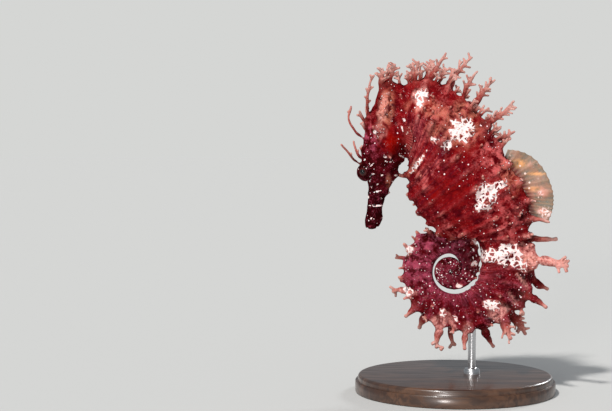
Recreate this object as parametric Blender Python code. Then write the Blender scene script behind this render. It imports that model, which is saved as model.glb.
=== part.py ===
"""A long-snouted seahorse with skin filaments, life size, held on a plain display stand.

Every length is written in millimetres and becomes metres through MM.
The animal faces -X with its left side towards -Y, and +Z is up.
Its whole body is one loft: at each body ring a section spans from a point on the
ventral line to a point on the dorsal line, and is as wide as the body there.
Ring numbers run from the mouth (-10) over the nape (0) and the first tail ring (11)
to the tip of the tail (49). The loft is parted into nodes by thin gaps.
"""

import math

import bmesh
import bpy
from mathutils import Vector

MM = 0.001
GAP = 0.3  # between neighbouring solids
COIL = Vector((-1.04, 0.0, 33.7))  # centre of the tail's coil, from the middle of the stand's underside

MOUTH, NAPE, TAIL_BASE, TAIL_TIP = -10.0, 0.0, 11.0, 49.0  # ring numbers
TAIL_TURN = 740.0  # degrees that the tail winds through
TAIL_START = 20.0  # direction of the tail's first section, seen from the coil's centre
FIRST_RINGS = 0.72  # share of the winding that is spread evenly over the rings
SIDE_SHIFT = 6.4  # how far the coil passes beside the belly

# ring, ventral point x and z, dorsal point x and z, half width; all from the coil's centre
BODY_LINES = (
    (-10.0, -21.0, 12.6, -23.5, 12.4, 1.1),
    (-9.4, -19.5, 14.6, -24.3, 13.9, 2.1),
    (-8.6, -19.6, 16.6, -23.9, 16.3, 1.9),
    (-7.4, -19.1, 19.4, -23.6, 19.2, 1.8),
    (-6.2, -18.1, 22.6, -23.4, 22.0, 2.0),
    (-5.0, -16.5, 25.8, -23.5, 24.9, 2.5),
    (-3.8, -14.4, 29.0, -25.3, 29.0, 4.1),
    (-3.0, -13.7, 30.3, -25.0, 32.8, 5.2),
    (-2.1, -13.4, 31.1, -24.5, 37.5, 5.8),
    (-1.4, -13.2, 31.7, -23.4, 43.4, 5.4),
    (-0.8, -12.9, 32.0, -20.9, 48.4, 4.9),
    (-0.3, -12.5, 31.9, -17.9, 52.2, 4.8),
    (0.0, -12.1, 31.4, -14.0, 51.6, 5.4),
    (1.0, -12.0, 29.8, -7.8, 52.4, 6.5),
    (2.0, -11.9, 27.4, -1.4, 51.0, 7.4),
    (4.0, -10.7, 20.6, 9.2, 40.3, 8.6),
    (6.0, -6.3, 14.0, 15.4, 30.5, 8.6),
    (8.0, -0.6, 9.0, 20.9, 20.2, 7.2),
    (10.0, 5.9, 7.8, 20.9, 10.4, 5.4),
)

# degrees wound, radius of the middle line about the coil's centre, half depth, half width
TAIL_LINES = (
    (-20.0, 16.6, 7.5, 5.3),
    (0.0, 15.4, 7.3, 5.0),
    (20.0, 14.9, 7.1, 4.9),
    (65.0, 12.5, 5.7, 4.4),
    (110.0, 10.7, 4.3, 4.0),
    (200.0, 9.3, 3.8, 3.5),
    (250.0, 8.9, 3.7, 3.2),
    (290.0, 7.5, 2.7, 2.8),
    (325.0, 7.2, 3.0, 2.6),
    (380.0, 4.9, 2.3, 2.3),
    (470.0, 3.5, 1.8, 1.9),
    (560.0, 3.4, 1.55, 1.6),
    (650.0, 2.4, 1.2, 1.3),
    (740.0, 1.25, 0.8, 0.85),
)

# One side of a section, from the back down to the belly, as (share of the half width, share of
# the half depth). The pairs of points are the narrow strips of the body's ridges:
# superior, lateral and inferior ridge, with the ventral keel last.
SECTIONS = {
    "snout": ((0.28, 1), (0.56, 0.86), (0.97, 0.25), (0.98, -0.1), (0.74, -0.72), (0.5, -0.88), (0.14, -1)),
    "head": ((0.3, 1), (0.5, 0.9), (0.94, 0.32), (1.0, 0.05), (0.82, -0.55), (0.6, -0.78), (0.14, -1)),
    "trunk": ((0.34, 1), (0.52, 0.91), (0.96, 0.24), (1.0, 0.04), (0.74, -0.58), (0.54, -0.76), (0.1, -1)),
    "tail": ((0.7, 1), (0.93, 0.86), (0.97, 0.25), (0.97, -0.1), (0.94, -0.8), (0.7, -0.97), (0.12, -1)),
}
SECTION_RINGS = (
    (-10.0, "snout"),
    (-5.0, "snout"),
    (-3.0, "head"),
    (-1.0, "head"),
    (1.5, "trunk"),
    (8.5, "trunk"),
    (12.5, "tail"),
    (49.0, "tail"),
)

# Nodes of the body, each from its first ring to its last.
LENGTHS = (
    ("snout", MOUTH, -5.0),
    ("head", -5.0, NAPE),
    ("neck", NAPE, 2.5),
    ("trunk_upper", 2.5, 5.5),
    ("trunk_lower", 5.5, 9.5),
    ("tail_base", 9.5, 15.5),
    ("tail_outer", 15.5, 21.5),
    ("tail_front", 21.5, 28.5),
    ("tail_inner", 28.5, 36.5),
    ("tail_tip", 36.5, TAIL_TIP),
)
RING_WAVE = ((0.0, 0.0), (1.0, 0.2), (11.0, 0.2), (28.0, 0.12), (49.0, 0.05))  # height of the rings' ridges

# Skin filaments on the two superior ridges: ring, side (-1 left, 1 right), length,
# direction at the root and at the tip in degrees, root radius, twigs
FILAMENTS = (
    (-3.55, -1, 8.6, 138, 130, 0.9, 0),
    (-3.3, 1, 6.6, 128, 108, 0.8, 0),
    (-2.2, 1, 12.2, 152, 74, 0.9, 0),
    (-1.65, -1, 4.4, 118, 104, 0.6, 1),
    (-1.2, -1, 12.4, 98, 56, 0.9, 1),
    (-0.65, 1, 7.2, 68, 88, 0.8, 1),
    (-0.2, -1, 6.4, 84, 76, 0.9, 1),
    (0.25, 1, 7.4, 92, 76, 0.9, 1),
    (0.6, -1, 7.0, 84, 74, 0.9, 2),
    (1.0, 1, 7.9, 80, 60, 1.0, 2),
    (1.2, -1, 10.4, 68, 60, 1.1, 3),
    (1.9, 1, 12.2, 56, 44, 1.2, 3),
    (2.7, -1, 10.0, 72, 48, 1.2, 3),
    (3.2, 1, 12.2, 64, 40, 1.5, 3),
    (3.8, -1, 11.0, 28, 44, 1.5, 3),
    (4.7, 1, 6.8, 16, 44, 1.0, 1),
    (5.25, -1, 3.8, 56, 62, 0.9, 0),
    (9.1, -1, 6.0, 12, -32, 0.9, 0),
    (10.25, 1, 8.0, -4, 6, 0.9, 0),
    (11.55, -1, 13.4, -24, -20, 2.2, 2),
    (12.4, 1, 6.7, -56, -30, 1.1, 0),
    (13.4, -1, 7.0, -44, -24, 1.1, 0),
    (14.5, 1, 9.2, -60, -42, 1.5, 2),
    (15.15, -1, 6.0, -72, -72, 1.3, 1),
    (16.4, 1, 7.2, -72, -58, 1.1, 0),
    (17.3, -1, 5.4, -88, -96, 1.1, 0),
    (18.3, 1, 7.0, -88, -48, 1.0, 1),
    (19.4, -1, 6.0, -104, -72, 1.1, 1),
    (20.35, 1, 4.9, -112, -104, 0.9, 0),
    (21.2, -1, 3.9, -128, -138, 0.9, 0),
    (22.1, 1, 4.6, 176, 226, 0.8, 0),
    (23.1, -1, 1.8, 172, 168, 0.8, 0),
    (24.3, 1, 3.9, 168, 188, 0.8, 0),
    (25.2, -1, 3.2, 136, 136, 0.9, 0),
    (26.2, 1, 2.5, 124, 120, 0.8, 0),
)
KEEL_SPINES = ((-0.75, 2.4, 160, 0.4), (2.1, 2.9, 182, 0.7), (3.7, 1.0, 190, 0.7), (5.25, 1.0, 205, 0.7))
FILAMENT_TIP = 0.28  # radius at the end of a filament
LEAN = 24.0  # degrees that a filament leans out to its own side

EYE_CENTRE = Vector((-24.5, 3.75, 28.3))  # of the right eye, from the coil's centre
EYE_RADIUS, ORBIT_RADIUS = 1.8, 2.35
ORBIT_INSET = 0.75  # how far the orbit's centre lies inside the eye's

GILL_CENTRE = Vector((-16.4, 3.6, 36.6))  # of the right gill cover's dome
GILL_SIZE = Vector((3.7, 2.5, 3.5))  # half sizes of the dome

FIN_THICKNESS = 0.55
DORSAL_FIN = (5.75, 8.95)  # rings at the two ends of its base
DORSAL_RAYS = ((0.0, 2.6, 76), (0.25, 6.9, 37), (0.5, 7.9, 5), (0.75, 6.9, -8), (1.0, 5.3, -16))
PECTORAL_RING, PECTORAL_LENGTH, PECTORAL_SPREAD = -0.1, 3.0, 34.0
ANAL_FIN = (9.62, 10.0)

STAND_RADIUS, STAND_THICKNESS, STAND_EDGE = 28.0, 5.0, 1.0
ROD_RADIUS = 1.1

SKIN = ("skin", (0.28, 0.02, 0.02), 0.45)
FIN = ("fin", (0.75, 0.5, 0.36), 0.4)
EYE = ("eye", (0.03, 0.01, 0.01), 0.1)
WOOD = ("base_wood", (0.09, 0.045, 0.025), 0.5)
STEEL = ("rod_steel", (0.6, 0.6, 0.6), 0.3)


def clear_scene():
    for obj in list(bpy.data.objects):
        bpy.data.objects.remove(obj)


def smooth_row(rows, key):
    """The row of a table at key, on a smooth curve through its rows; a row's first value is its key."""
    last = len(rows) - 1
    key = min(max(key, rows[0][0]), rows[last][0])
    i = max(j for j in range(last) if rows[j][0] <= key)
    span = rows[i + 1][0] - rows[i][0]
    t = (key - rows[i][0]) / span
    made = []
    for column in range(1, len(rows[0])):

        def slope(j):
            a, b = max(j - 1, 0), min(j + 1, last)
            return (rows[b][column] - rows[a][column]) / (rows[b][0] - rows[a][0]) * span

        p, q, m, n = rows[i][column], rows[i + 1][column], slope(i), slope(i + 1)
        made.append(p + t * (m + t * (3 * (q - p) - 2 * m - n + t * (2 * (p - q) + m + n))))
    return made


def wound(ring):
    """Degrees that the tail has wound at a ring; the rings turn faster towards the tip."""
    q = (ring - TAIL_BASE) / (TAIL_TIP - TAIL_BASE)
    return TAIL_TURN * (FIRST_RINGS * q + (1 - FIRST_RINGS) * q * q)


def tail_row(turn):
    """(ventral x, z, dorsal x, z, half width) of the tail where it has wound this many degrees."""
    radius, depth, width = smooth_row(TAIL_LINES, turn)
    angle = math.radians(TAIL_START - turn)
    inner, outer = radius - depth, radius + depth
    along, up = math.cos(angle), math.sin(angle)
    return (inner * along, inner * up, outer * along, outer * up, width)


TRUNK_LINES = BODY_LINES + tuple((ring,) + tail_row(wound(ring)) for ring in (TAIL_BASE, TAIL_BASE + 1))


def side_shift(ring):
    """The tail swings to the right, past the belly, and comes part of the way back in the coil."""
    turn = max(wound(max(ring, TAIL_BASE)), 0.0)
    t = min(max((turn - 50) / 230, 0.0), 1.0)
    back = min(max((turn - 330) / 200, 0.0), 1.0)
    return SIDE_SHIFT * (t * t * (3 - 2 * t) - 0.3 * back)


def body_at(ring):
    """(ventral point, dorsal point, half width) of the body at a ring, from the coil's centre."""
    row = tail_row(wound(ring)) if ring > TAIL_BASE else smooth_row(TRUNK_LINES, ring)
    shift = side_shift(ring)
    return Vector((row[0], shift, row[1])), Vector((row[2], shift, row[3])), row[4]


def section_shares(ring):
    i = max(j for j in range(len(SECTION_RINGS) - 1) if SECTION_RINGS[j][0] <= ring or j == 0)
    (low, first), (high, second) = SECTION_RINGS[i], SECTION_RINGS[i + 1]
    t = min(max((ring - low) / (high - low), 0.0), 1.0)
    return [
        (a[0] + (b[0] - a[0]) * t, a[1] + (b[1] - a[1]) * t)
        for a, b in zip(SECTIONS[first], SECTIONS[second])
    ]


def place(point, mirrored=False):
    """A point from the coil's centre as a place in metres; mirrored puts it on the left side."""
    x, y, z = point
    return (COIL + Vector((x, -y if mirrored else y, z))) * MM


def section(ring):
    """The corners of the body's section at a ring: down the right side, then up the left.

    Every whole ring from the nape on is a low ridge round the body.
    """
    ventral, dorsal, width = body_at(ring)
    middle, half = (ventral + dorsal) / 2, (dorsal - ventral) / 2
    wave = smooth_row(RING_WAVE, ring)[0] * math.cos(2 * math.pi * ring) if ring > 0 else 0.0
    shares = section_shares(ring)
    right = [half * h + Vector((0, width * s, 0)) for s, h in shares]
    left = [half * h - Vector((0, width * s, 0)) for s, h in reversed(shares)]
    return [place(middle + p + p.normalized() * wave) for p in right + left]


def ridge_point(ring, side):
    """The middle of the superior ridge's strip at a ring."""
    corners = section(ring)
    return (corners[0] + corners[1]) / 2 if side > 0 else (corners[-1] + corners[-2]) / 2


def keel_point(ring):
    corners = section(ring)
    half = len(corners) // 2
    return (corners[half - 1] + corners[half]) / 2


def material(kind):
    name, colour, roughness = kind
    found = bpy.data.materials.get(name)
    if found:
        return found
    made = bpy.data.materials.new(name)
    made.use_nodes = True
    shader = made.node_tree.nodes["Principled BSDF"]
    shader.inputs["Base Color"].default_value = (*colour, 1.0)
    shader.inputs["Roughness"].default_value = roughness
    shader.inputs["Metallic"].default_value = 1.0 if name == STEEL[0] else 0.0
    return made


def add_object(name, bm, kind):
    bmesh.ops.recalc_face_normals(bm, faces=bm.faces)
    mesh = bpy.data.meshes.new(name)
    bm.to_mesh(mesh)
    bm.free()
    mesh.materials.append(material(kind))
    obj = bpy.data.objects.new(name, mesh)
    bpy.context.scene.collection.objects.link(obj)
    return obj


def extruded(bm, face, points):
    """Extrudes a face so that its corners come to these points; returns the new face."""
    face = bmesh.ops.extrude_discrete_faces(bm, faces=[face])["faces"][0]
    for vert, point in zip(face.verts, points):
        vert.co = point
    return face


def moved_end(corners, towards):
    """An end section set back by half the gap, square to its own plane."""
    normal = (corners[2] - corners[-3]).cross(corners[0] - corners[len(corners) // 2]).normalized()
    if normal.dot(towards - corners[0]) < 0:
        normal.negate()
    return [c + normal * (GAP / 2 * MM) for c in corners]


def loft(first, last):
    """The closed body between two rings; an end that meets a neighbour is set back by half the gap."""
    steps = max(2, round((last - first) * 2))
    rings = [first + (last - first) * i / steps for i in range(steps + 1)]
    sections = [section(ring) for ring in rings]
    if first > MOUTH:
        sections[0] = moved_end(sections[0], sections[1][0])
    if last < TAIL_TIP:
        sections[-1] = moved_end(sections[-1], sections[-2][0])
    bm = bmesh.new()
    end = bm.faces.new([bm.verts.new(p) for p in sections[0]])
    for points in sections[1:]:
        end = extruded(bm, end, points)
    bmesh.ops.holes_fill(bm, edges=[e for e in bm.edges if e.is_boundary], sides=0)
    return bm


def heading(degrees, lean):
    """A direction in the side view, in degrees from +X towards +Z, leaning out sideways by lean degrees."""
    flat, out = math.radians(degrees), math.radians(lean)
    return Vector((math.cos(flat) * math.cos(out), math.sin(out), math.sin(flat) * math.cos(out)))


def grow(bm, face, start, directions, step, radii):
    """Draws a tapering filament out of one face; returns the faces round each of its joints."""
    centre, rounds = start.copy(), []
    for direction, radius in zip(directions, radii):
        centre = centre + direction * step * MM
        old = face.calc_center_median()
        spokes = [v.co - old for v in face.verts]
        spokes = [(s - direction * s.dot(direction)).normalized() for s in spokes]
        face = extruded(bm, face, [centre + s * radius * MM for s in spokes])
        rounds.append((centre, [f for e in face.edges for f in e.link_faces if f is not face]))
    return rounds


def nearest_face(bm, point):
    return min(bm.faces, key=lambda f: (f.calc_center_median() - point).length)


def add_filament(bm, ring, side, length, start, end, radius, twigs):
    """A filament on a superior ridge: a stem that bends from start to end, with twigs by turns."""
    root = ridge_point(ring, side)
    count = 4 if length > 5 else 3
    directions = [heading(start + (end - start) * i / (count - 1), LEAN * side) for i in range(count)]
    radii = [radius + (FILAMENT_TIP - radius) * ((i + 1) / count) ** 0.7 for i in range(count)]
    rounds = grow(bm, nearest_face(bm, root), root, directions, length / count, radii)
    for i in range(min(twigs, count - 1)):
        centre, walls = rounds[i + 1]
        turn = 48 if (i + (side > 0)) % 2 else -48
        flat = start + (end - start) * (i + 1) / (count - 1) + turn
        direction = heading(flat, LEAN * side * (0.2 + 0.8 * i))
        wall = max(walls, key=lambda f: f.normal.dot(direction))
        twig = length * (0.26 - 0.03 * i)
        radii = [FILAMENT_TIP * 1.25, FILAMENT_TIP]
        grow(bm, wall, wall.calc_center_median(), [direction] * 2, twig / 2, radii)


def add_keel_spine(bm, ring, length, degrees, radius):
    root = keel_point(ring)
    radii = [radius, FILAMENT_TIP]
    grow(bm, nearest_face(bm, root), root, [heading(degrees, 0)] * 2, length / 2, radii)


def add_body():
    for name, first, last in LENGTHS:
        bm = loft(first, last)
        bm.normal_update()
        bmesh.ops.recalc_face_normals(bm, faces=bm.faces)
        for filament in FILAMENTS:
            if first < filament[0] < last:
                add_filament(bm, *filament)
        for spine in KEEL_SPINES:
            if first < spine[0] < last:
                add_keel_spine(bm, *spine)
        add_object(name, bm, SKIN)


def add_ball(name, centre, size, kind):
    """A ball, or an ellipsoid, from its half sizes."""
    bm = bmesh.new()
    bmesh.ops.create_uvsphere(bm, u_segments=16, v_segments=10, radius=MM)
    bmesh.ops.scale(bm, verts=bm.verts, vec=size)
    bmesh.ops.translate(bm, verts=bm.verts, vec=centre)
    return add_object(name, bm, kind)


def combine(obj, other, operation):
    modifier = obj.modifiers.new(other.name, "BOOLEAN")
    modifier.operation = operation
    modifier.object = other
    modifier.solver = "EXACT"
    other.hide_render = True
    other.display_type = "WIRE"


def add_head_domes():
    """The gill covers bulge from the cheeks, and each eye sits in an orbit that stands out from the head.

    The eye's socket is a little wider than the eye.
    """
    head = bpy.data.objects["head"]
    orbit_size = Vector((1, 1, 1)) * ORBIT_RADIUS
    inner = EYE_CENTRE - Vector((-0.15, ORBIT_INSET, -0.1))
    sides = (("left", True), ("right", False))
    for name, mirrored in sides:
        gill = add_ball("gill_shape_" + name, place(GILL_CENTRE, mirrored), GILL_SIZE, SKIN)
        orbit = add_ball("orbit_shape_" + name, place(inner, mirrored), orbit_size, SKIN)
        combine(head, gill, "UNION")
        combine(head, orbit, "UNION")
    for name, mirrored in sides:
        centre = place(EYE_CENTRE, mirrored)
        socket_size = Vector((1, 1, 1)) * (EYE_RADIUS + GAP)
        combine(head, add_ball("socket_shape_" + name, centre, socket_size, SKIN), "DIFFERENCE")
        add_ball("eye_" + name, centre, Vector((1, 1, 1)) * EYE_RADIUS, EYE)


def add_fan(name, bases, tips, kind=FIN):
    """A thin fin: a strip of quads from its base line to its margin, thickened evenly."""
    bm = bmesh.new()
    rows = []
    for share in (0.0, 0.5, 1.0):
        rows.append([bm.verts.new(b.lerp(t, share)) for b, t in zip(bases, tips)])
    for low, high in zip(rows, rows[1:]):
        for i in range(len(low) - 1):
            bm.faces.new((low[i], low[i + 1], high[i + 1], high[i]))
    obj = add_object(name, bm, kind)
    wall = obj.modifiers.new("thickness", "SOLIDIFY")
    wall.thickness = FIN_THICKNESS * MM
    wall.offset = 0.0
    return obj


def outward(ring, dorsal=True):
    """The direction in the body's middle plane that points away from the back or the belly, square to it."""
    line = 1 if dorsal else 0
    along = (body_at(ring + 0.05)[line] - body_at(ring - 0.05)[line]).normalized()
    away = body_at(ring)[line] - body_at(ring)[1 - line]
    square = away - along * away.dot(along)
    return square.normalized()


def add_dorsal_fin():
    count = 9
    bases, tips = [], []
    for i in range(count):
        share = i / (count - 1)
        ring = DORSAL_FIN[0] + (DORSAL_FIN[1] - DORSAL_FIN[0]) * share
        length, degrees = smooth_row(DORSAL_RAYS, share)
        base = body_at(ring)[1] + outward(ring) * (GAP + 0.1)
        bases.append(place(base))
        tips.append(place(base + heading(degrees, 0) * length))
    add_fan("dorsal_fin", bases, tips)


def add_pectoral_fins():
    """A small fan on each side just behind the gill cover, swept back and standing out a little."""
    ventral, dorsal, width = body_at(PECTORAL_RING)
    count = 5
    for name, mirrored in (("left", True), ("right", False)):
        bases, tips = [], []
        for i in range(count):
            share = i / (count - 1)
            height = 0.44 - 0.24 * share
            base = ventral.lerp(dorsal, height) + Vector((0, width + GAP + 0.35, 0))
            ray = heading(PECTORAL_SPREAD * (1 - 2 * share) - 22, 32)
            bases.append(place(base, mirrored))
            tips.append(place(base + ray * PECTORAL_LENGTH, mirrored))
        add_fan("pectoral_fin_" + name, bases, tips)


def add_anal_fin():
    bases, tips = [], []
    for i in range(3):
        ring = ANAL_FIN[0] + (ANAL_FIN[1] - ANAL_FIN[0]) * i / 2
        away = outward(ring, dorsal=False)
        base = body_at(ring)[0] + away * (GAP + 0.15)
        bases.append(place(base))
        tips.append(place(base + (away + Vector((0.25 * (i - 1), 0, 0))).normalized() * 2.0))
    add_fan("anal_fin", bases, tips)


def add_disc(name, radius, low, high, centre, kind, segments):
    bm = bmesh.new()
    depth = (high - low) * MM
    bmesh.ops.create_cone(
        bm, cap_ends=True, segments=segments, radius1=radius * MM, radius2=radius * MM, depth=depth
    )
    middle = Vector((centre.x, centre.y, (low + high) / 2)) * MM
    bmesh.ops.translate(bm, verts=bm.verts, vec=middle)
    return add_object(name, bm, kind)


def lowest_place():
    """The lowest place under the coil, between its filaments, as a point in the body's middle plane."""
    rings = [15 + i * 0.25 for i in range(25)]
    lowest = [min(section(ring), key=lambda p: p.z) for ring in rings]
    ring, low = min(zip(rings, lowest), key=lambda pair: pair[1].z)
    return Vector((low.x, side_shift(ring) * MM, low.z)) / MM


def add_stand():
    """A round base and one rod that ends just under the lowest stretch of the tail."""
    base = add_disc("stand_base", STAND_RADIUS, 0, STAND_THICKNESS, Vector((0, 0, 0)), WOOD, 48)
    edge = base.modifiers.new("edge", "BEVEL")
    edge.width, edge.segments, edge.limit_method = STAND_EDGE * MM, 2, "ANGLE"
    top = lowest_place()
    add_disc("stand_rod", ROD_RADIUS, STAND_THICKNESS + GAP, top.z - GAP, top, STEEL, 16)


def main():
    clear_scene()
    add_body()
    add_head_domes()
    add_dorsal_fin()
    add_pectoral_fins()
    add_anal_fin()
    add_stand()


main()
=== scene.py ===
import math
import random

import bmesh
import bpy
import numpy as np
from mathutils import Matrix, Vector, noise


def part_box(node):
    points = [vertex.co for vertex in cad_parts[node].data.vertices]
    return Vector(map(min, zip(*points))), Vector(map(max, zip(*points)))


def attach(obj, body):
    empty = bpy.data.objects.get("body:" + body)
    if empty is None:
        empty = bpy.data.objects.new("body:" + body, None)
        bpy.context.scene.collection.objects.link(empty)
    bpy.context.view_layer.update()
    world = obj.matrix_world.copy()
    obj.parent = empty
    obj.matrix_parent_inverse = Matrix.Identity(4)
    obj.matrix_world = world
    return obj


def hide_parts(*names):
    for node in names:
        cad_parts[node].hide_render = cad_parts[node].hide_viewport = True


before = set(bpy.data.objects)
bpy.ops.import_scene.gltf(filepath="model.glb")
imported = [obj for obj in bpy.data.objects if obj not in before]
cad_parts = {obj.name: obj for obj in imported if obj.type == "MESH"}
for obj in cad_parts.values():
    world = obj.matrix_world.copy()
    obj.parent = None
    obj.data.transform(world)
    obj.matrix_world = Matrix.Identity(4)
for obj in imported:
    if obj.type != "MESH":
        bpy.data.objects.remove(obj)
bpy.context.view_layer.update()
mm = 0.001
sides = {"left": -1, "right": 1}  # the animal faces -X, so its left side is towards -Y


# a ring is a place along the body: -10 the mouth, 0 the nape, 11 the first tail ring, 49 the tail's tip
body = {
    "coil": Vector((-1.04, 0, 33.7)),  # centre of the tail's coil, mm
    "tailBase": 11,
    "tailTip": 49,
    "tailStart": 20,  # direction of the tail's first section, degrees
    "tailTurn": 740,  # degrees that the tail winds through
    "firstRings": 0.72,  # share of the winding that is spread evenly over the rings
    "sideShift": 6.4,  # how far the coil passes beside the belly
    "shiftTurns": (50, 280),  # degrees wound between which the tail moves over
    "returnTurns": (330, 530),  # and between which it comes back by a share
    "returnShare": 0.3,
    # ring, ventral x and z, dorsal x and z, half width
    "lines": (
        (-10, -20.5, 12.5, -24, 12.2, 1.5), (-9.4, -19.5, 14.6, -24.3, 13.9, 2.1),
        (-8.6, -19.6, 16.6, -23.9, 16.3, 1.9), (-7.4, -19.1, 19.4, -23.6, 19.2, 1.8),
        (-6.2, -18.1, 22.6, -23.4, 22, 2), (-5, -16.4, 25.5, -23.5, 24.9, 2.5),
        (-3.8, -15.9, 28.4, -25.3, 29, 4.1), (-3, -14.7, 30.1, -25, 32.8, 5.2),
        (-2.1, -13.3, 31.2, -24.5, 37.5, 5.8), (-1.4, -13.2, 31.7, -23.4, 43.4, 5.4),
        (-0.8, -12.9, 32, -20.9, 48.4, 4.9), (-0.3, -12.5, 31.9, -17.9, 52.2, 4.8),
        (0, -12.1, 31.4, -14, 51.6, 5.4), (1, -12, 29.8, -7.8, 52.4, 6.5),
        (2, -11.9, 27.4, -1.4, 51, 7.4), (4, -10.7, 20.6, 9.2, 40.3, 8.6),
        (6, -6.3, 14, 15.4, 30.5, 8.6), (8, -0.6, 9, 20.9, 20.2, 7.2),
        (10, 7.1, 9.2, 20.9, 10.4, 5.4),
    ),
    # degrees wound, radius of the middle line, half depth, half width
    "tail": (
        (-20, 17.3, 6.8, 5.3), (0, 15.8, 6.9, 5), (20, 15, 7, 4.9), (65, 12.5, 5.7, 4.4),
        (110, 10.6, 4.4, 4), (200, 9.2, 3.9, 3.5), (250, 8.8, 3.8, 3.2), (290, 7.4, 2.8, 2.8),
        (325, 6.8, 3.4, 2.6), (380, 4.85, 2.45, 2.3), (470, 3.2, 2.1, 2), (560, 2.62, 2.28, 1.75),
        (640, 1.9, 2.05, 1.5), (680, 1.75, 1.75, 1.4), (720, 1.4, 1.6, 1.2), (760, 1.1, 1.4, 1),
        (800, 0.75, 1.2, 0.8), (840, 0.45, 1, 0.6), (880, 0.3, 0.7, 0.4),
    ),
    # one side of a section from back to belly, as shares of the half width and half depth
    "sections": {
        "snout": (
            (0.28, 1), (0.56, 0.86), (0.97, 0.25), (0.98, -0.1), (0.74, -0.72), (0.5, -0.88), (0.14, -1),
        ),
        "head": ((0.3, 1), (0.5, 0.9), (0.94, 0.32), (1, 0.05), (0.82, -0.55), (0.6, -0.78), (0.14, -1)),
        "trunk": ((0.34, 1), (0.52, 0.91), (0.96, 0.24), (1, 0.04), (0.74, -0.58), (0.54, -0.76), (0.1, -1)),
        "tail": ((0.7, 1), (0.93, 0.86), (0.97, 0.25), (0.97, -0.1), (0.94, -0.8), (0.7, -0.97), (0.12, -1)),
    },
    "sectionRings": (
        (-10, "snout"), (-5, "snout"), (-3, "head"), (-1, "head"), (1.5, "trunk"), (8.5, "trunk"),
        (12.5, "tail"), (49, "tail"),
    ),
    # the corners' places round the body, 0 back, 1 belly
    "around": (0.12, 0.18, 0.42, 0.48, 0.72, 0.78, 0.97),
    "splits": (2, 7, 2, 5, 2, 3),  # faces between neighbouring corners
    # how far the faces between the corners fall in, by ring, and the share of that at the middle of the back
    "hollow": ((-10, -0.06), (-5, -0.06), (-1, -0.05), (3, -0.05), (9, -0.03), (13, 0.05), (49, 0.03)),
    "backHollow": 0.4,
}


def between(value, low, high):
    return min(max((value - low) / (high - low), 0.0), 1.0)


def mixed(a, b, t):
    return a + (b - a) * t


def smoothRow(rows, key):
    # the row of a table at key, on a smooth curve through its rows; a row's first value is its key
    last = len(rows) - 1
    key = min(max(key, rows[0][0]), rows[last][0])
    i = max(j for j in range(last) if rows[j][0] <= key)
    span = rows[i + 1][0] - rows[i][0]
    t = (key - rows[i][0]) / span
    made = []
    for column in range(1, len(rows[0])):

        def slope(j):
            a, b = max(j - 1, 0), min(j + 1, last)
            return (rows[b][column] - rows[a][column]) / (rows[b][0] - rows[a][0]) * span

        p, q, m, n = rows[i][column], rows[i + 1][column], slope(i), slope(i + 1)
        made.append(p + t * (m + t * (3 * (q - p) - 2 * m - n + t * (2 * (p - q) + m + n))))
    return made


def wound(ring):
    # degrees that the tail has wound at this ring
    q = (ring - body["tailBase"]) / (body["tailTip"] - body["tailBase"])
    return body["tailTurn"] * (body["firstRings"] * q + (1 - body["firstRings"]) * q * q)


def tailRow(turn):
    radius, depth, width = smoothRow(body["tail"], turn)
    angle = math.radians(body["tailStart"] - turn)
    inner, outer = radius - depth, radius + depth
    along, up = math.cos(angle), math.sin(angle)
    return (inner * along, inner * up, outer * along, outer * up, width)


body["trunkLines"] = body["lines"] + tuple(
    (ring,) + tailRow(wound(ring)) for ring in (body["tailBase"], body["tailBase"] + 1)
)


def sideShift(ring):
    turn = max(wound(max(ring, body["tailBase"])), 0.0)
    t, back = between(turn, *body["shiftTurns"]), between(turn, *body["returnTurns"])
    return body["sideShift"] * (t * t * (3 - 2 * t) - body["returnShare"] * back)


def bodyAt(ring):
    # ventral point, dorsal point and half width, in mm from the stand's underside
    row = tailRow(wound(ring)) if ring > body["tailBase"] else smoothRow(body["trunkLines"], ring)
    shift, coil = sideShift(ring), body["coil"]
    return coil + Vector((row[0], shift, row[1])), coil + Vector((row[2], shift, row[3])), row[4]


def sectionShares(ring):
    table = body["sectionRings"]
    i = max(j for j in range(len(table) - 1) if table[j][0] <= ring or j == 0)
    (low, first), (high, second) = table[i], table[i + 1]
    t = between(ring, low, high)
    pairs = zip(body["sections"][first], body["sections"][second])
    return [(mixed(a[0], b[0], t), mixed(a[1], b[1], t)) for a, b in pairs]


def sectionPoints(ring):
    # points round the body, each with its place: the middle of the back, the right side down, the left up
    ventral, dorsal, width = bodyAt(ring)
    middle, half = (ventral + dorsal) / 2, (dorsal - ventral) / 2
    corners, hollow = sectionShares(ring), smoothRow(body["hollow"], ring)[0]
    path = []
    for i, (a, b) in enumerate(zip(corners, corners[1:])):
        for k in range(body["splits"][i]):
            t = k / body["splits"][i]
            pull = 1 - hollow * 4 * t * (1 - t)
            place = mixed(body["around"][i], body["around"][i + 1], t)
            path.append((mixed(a[0], b[0], t) * pull, mixed(a[1], b[1], t) * pull, place))
    path.append((*corners[-1], body["around"][-1]))
    right = [(middle + half * h + Vector((0, width * s, 0)), r) for s, h, r in path]
    left = [(middle + half * h - Vector((0, width * s, 0)), r) for s, h, r in reversed(path)]
    top = (middle + half * (corners[0][1] * (1 - body["backHollow"] * hollow)), 0.0)
    return [top] + right + left


def skinPoint(ring, side, place):
    # a point on the body's surface, from its place round the body
    points = sectionPoints(ring)
    middle = len(points) // 2
    half = points[: middle + 1] if side > 0 else [points[0]] + points[:middle:-1]
    for (a, low), (b, high) in zip(half, half[1:]):
        if low <= place <= high:
            return a.lerp(b, (place - low) / (high - low))
    return half[-1][0]


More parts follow.
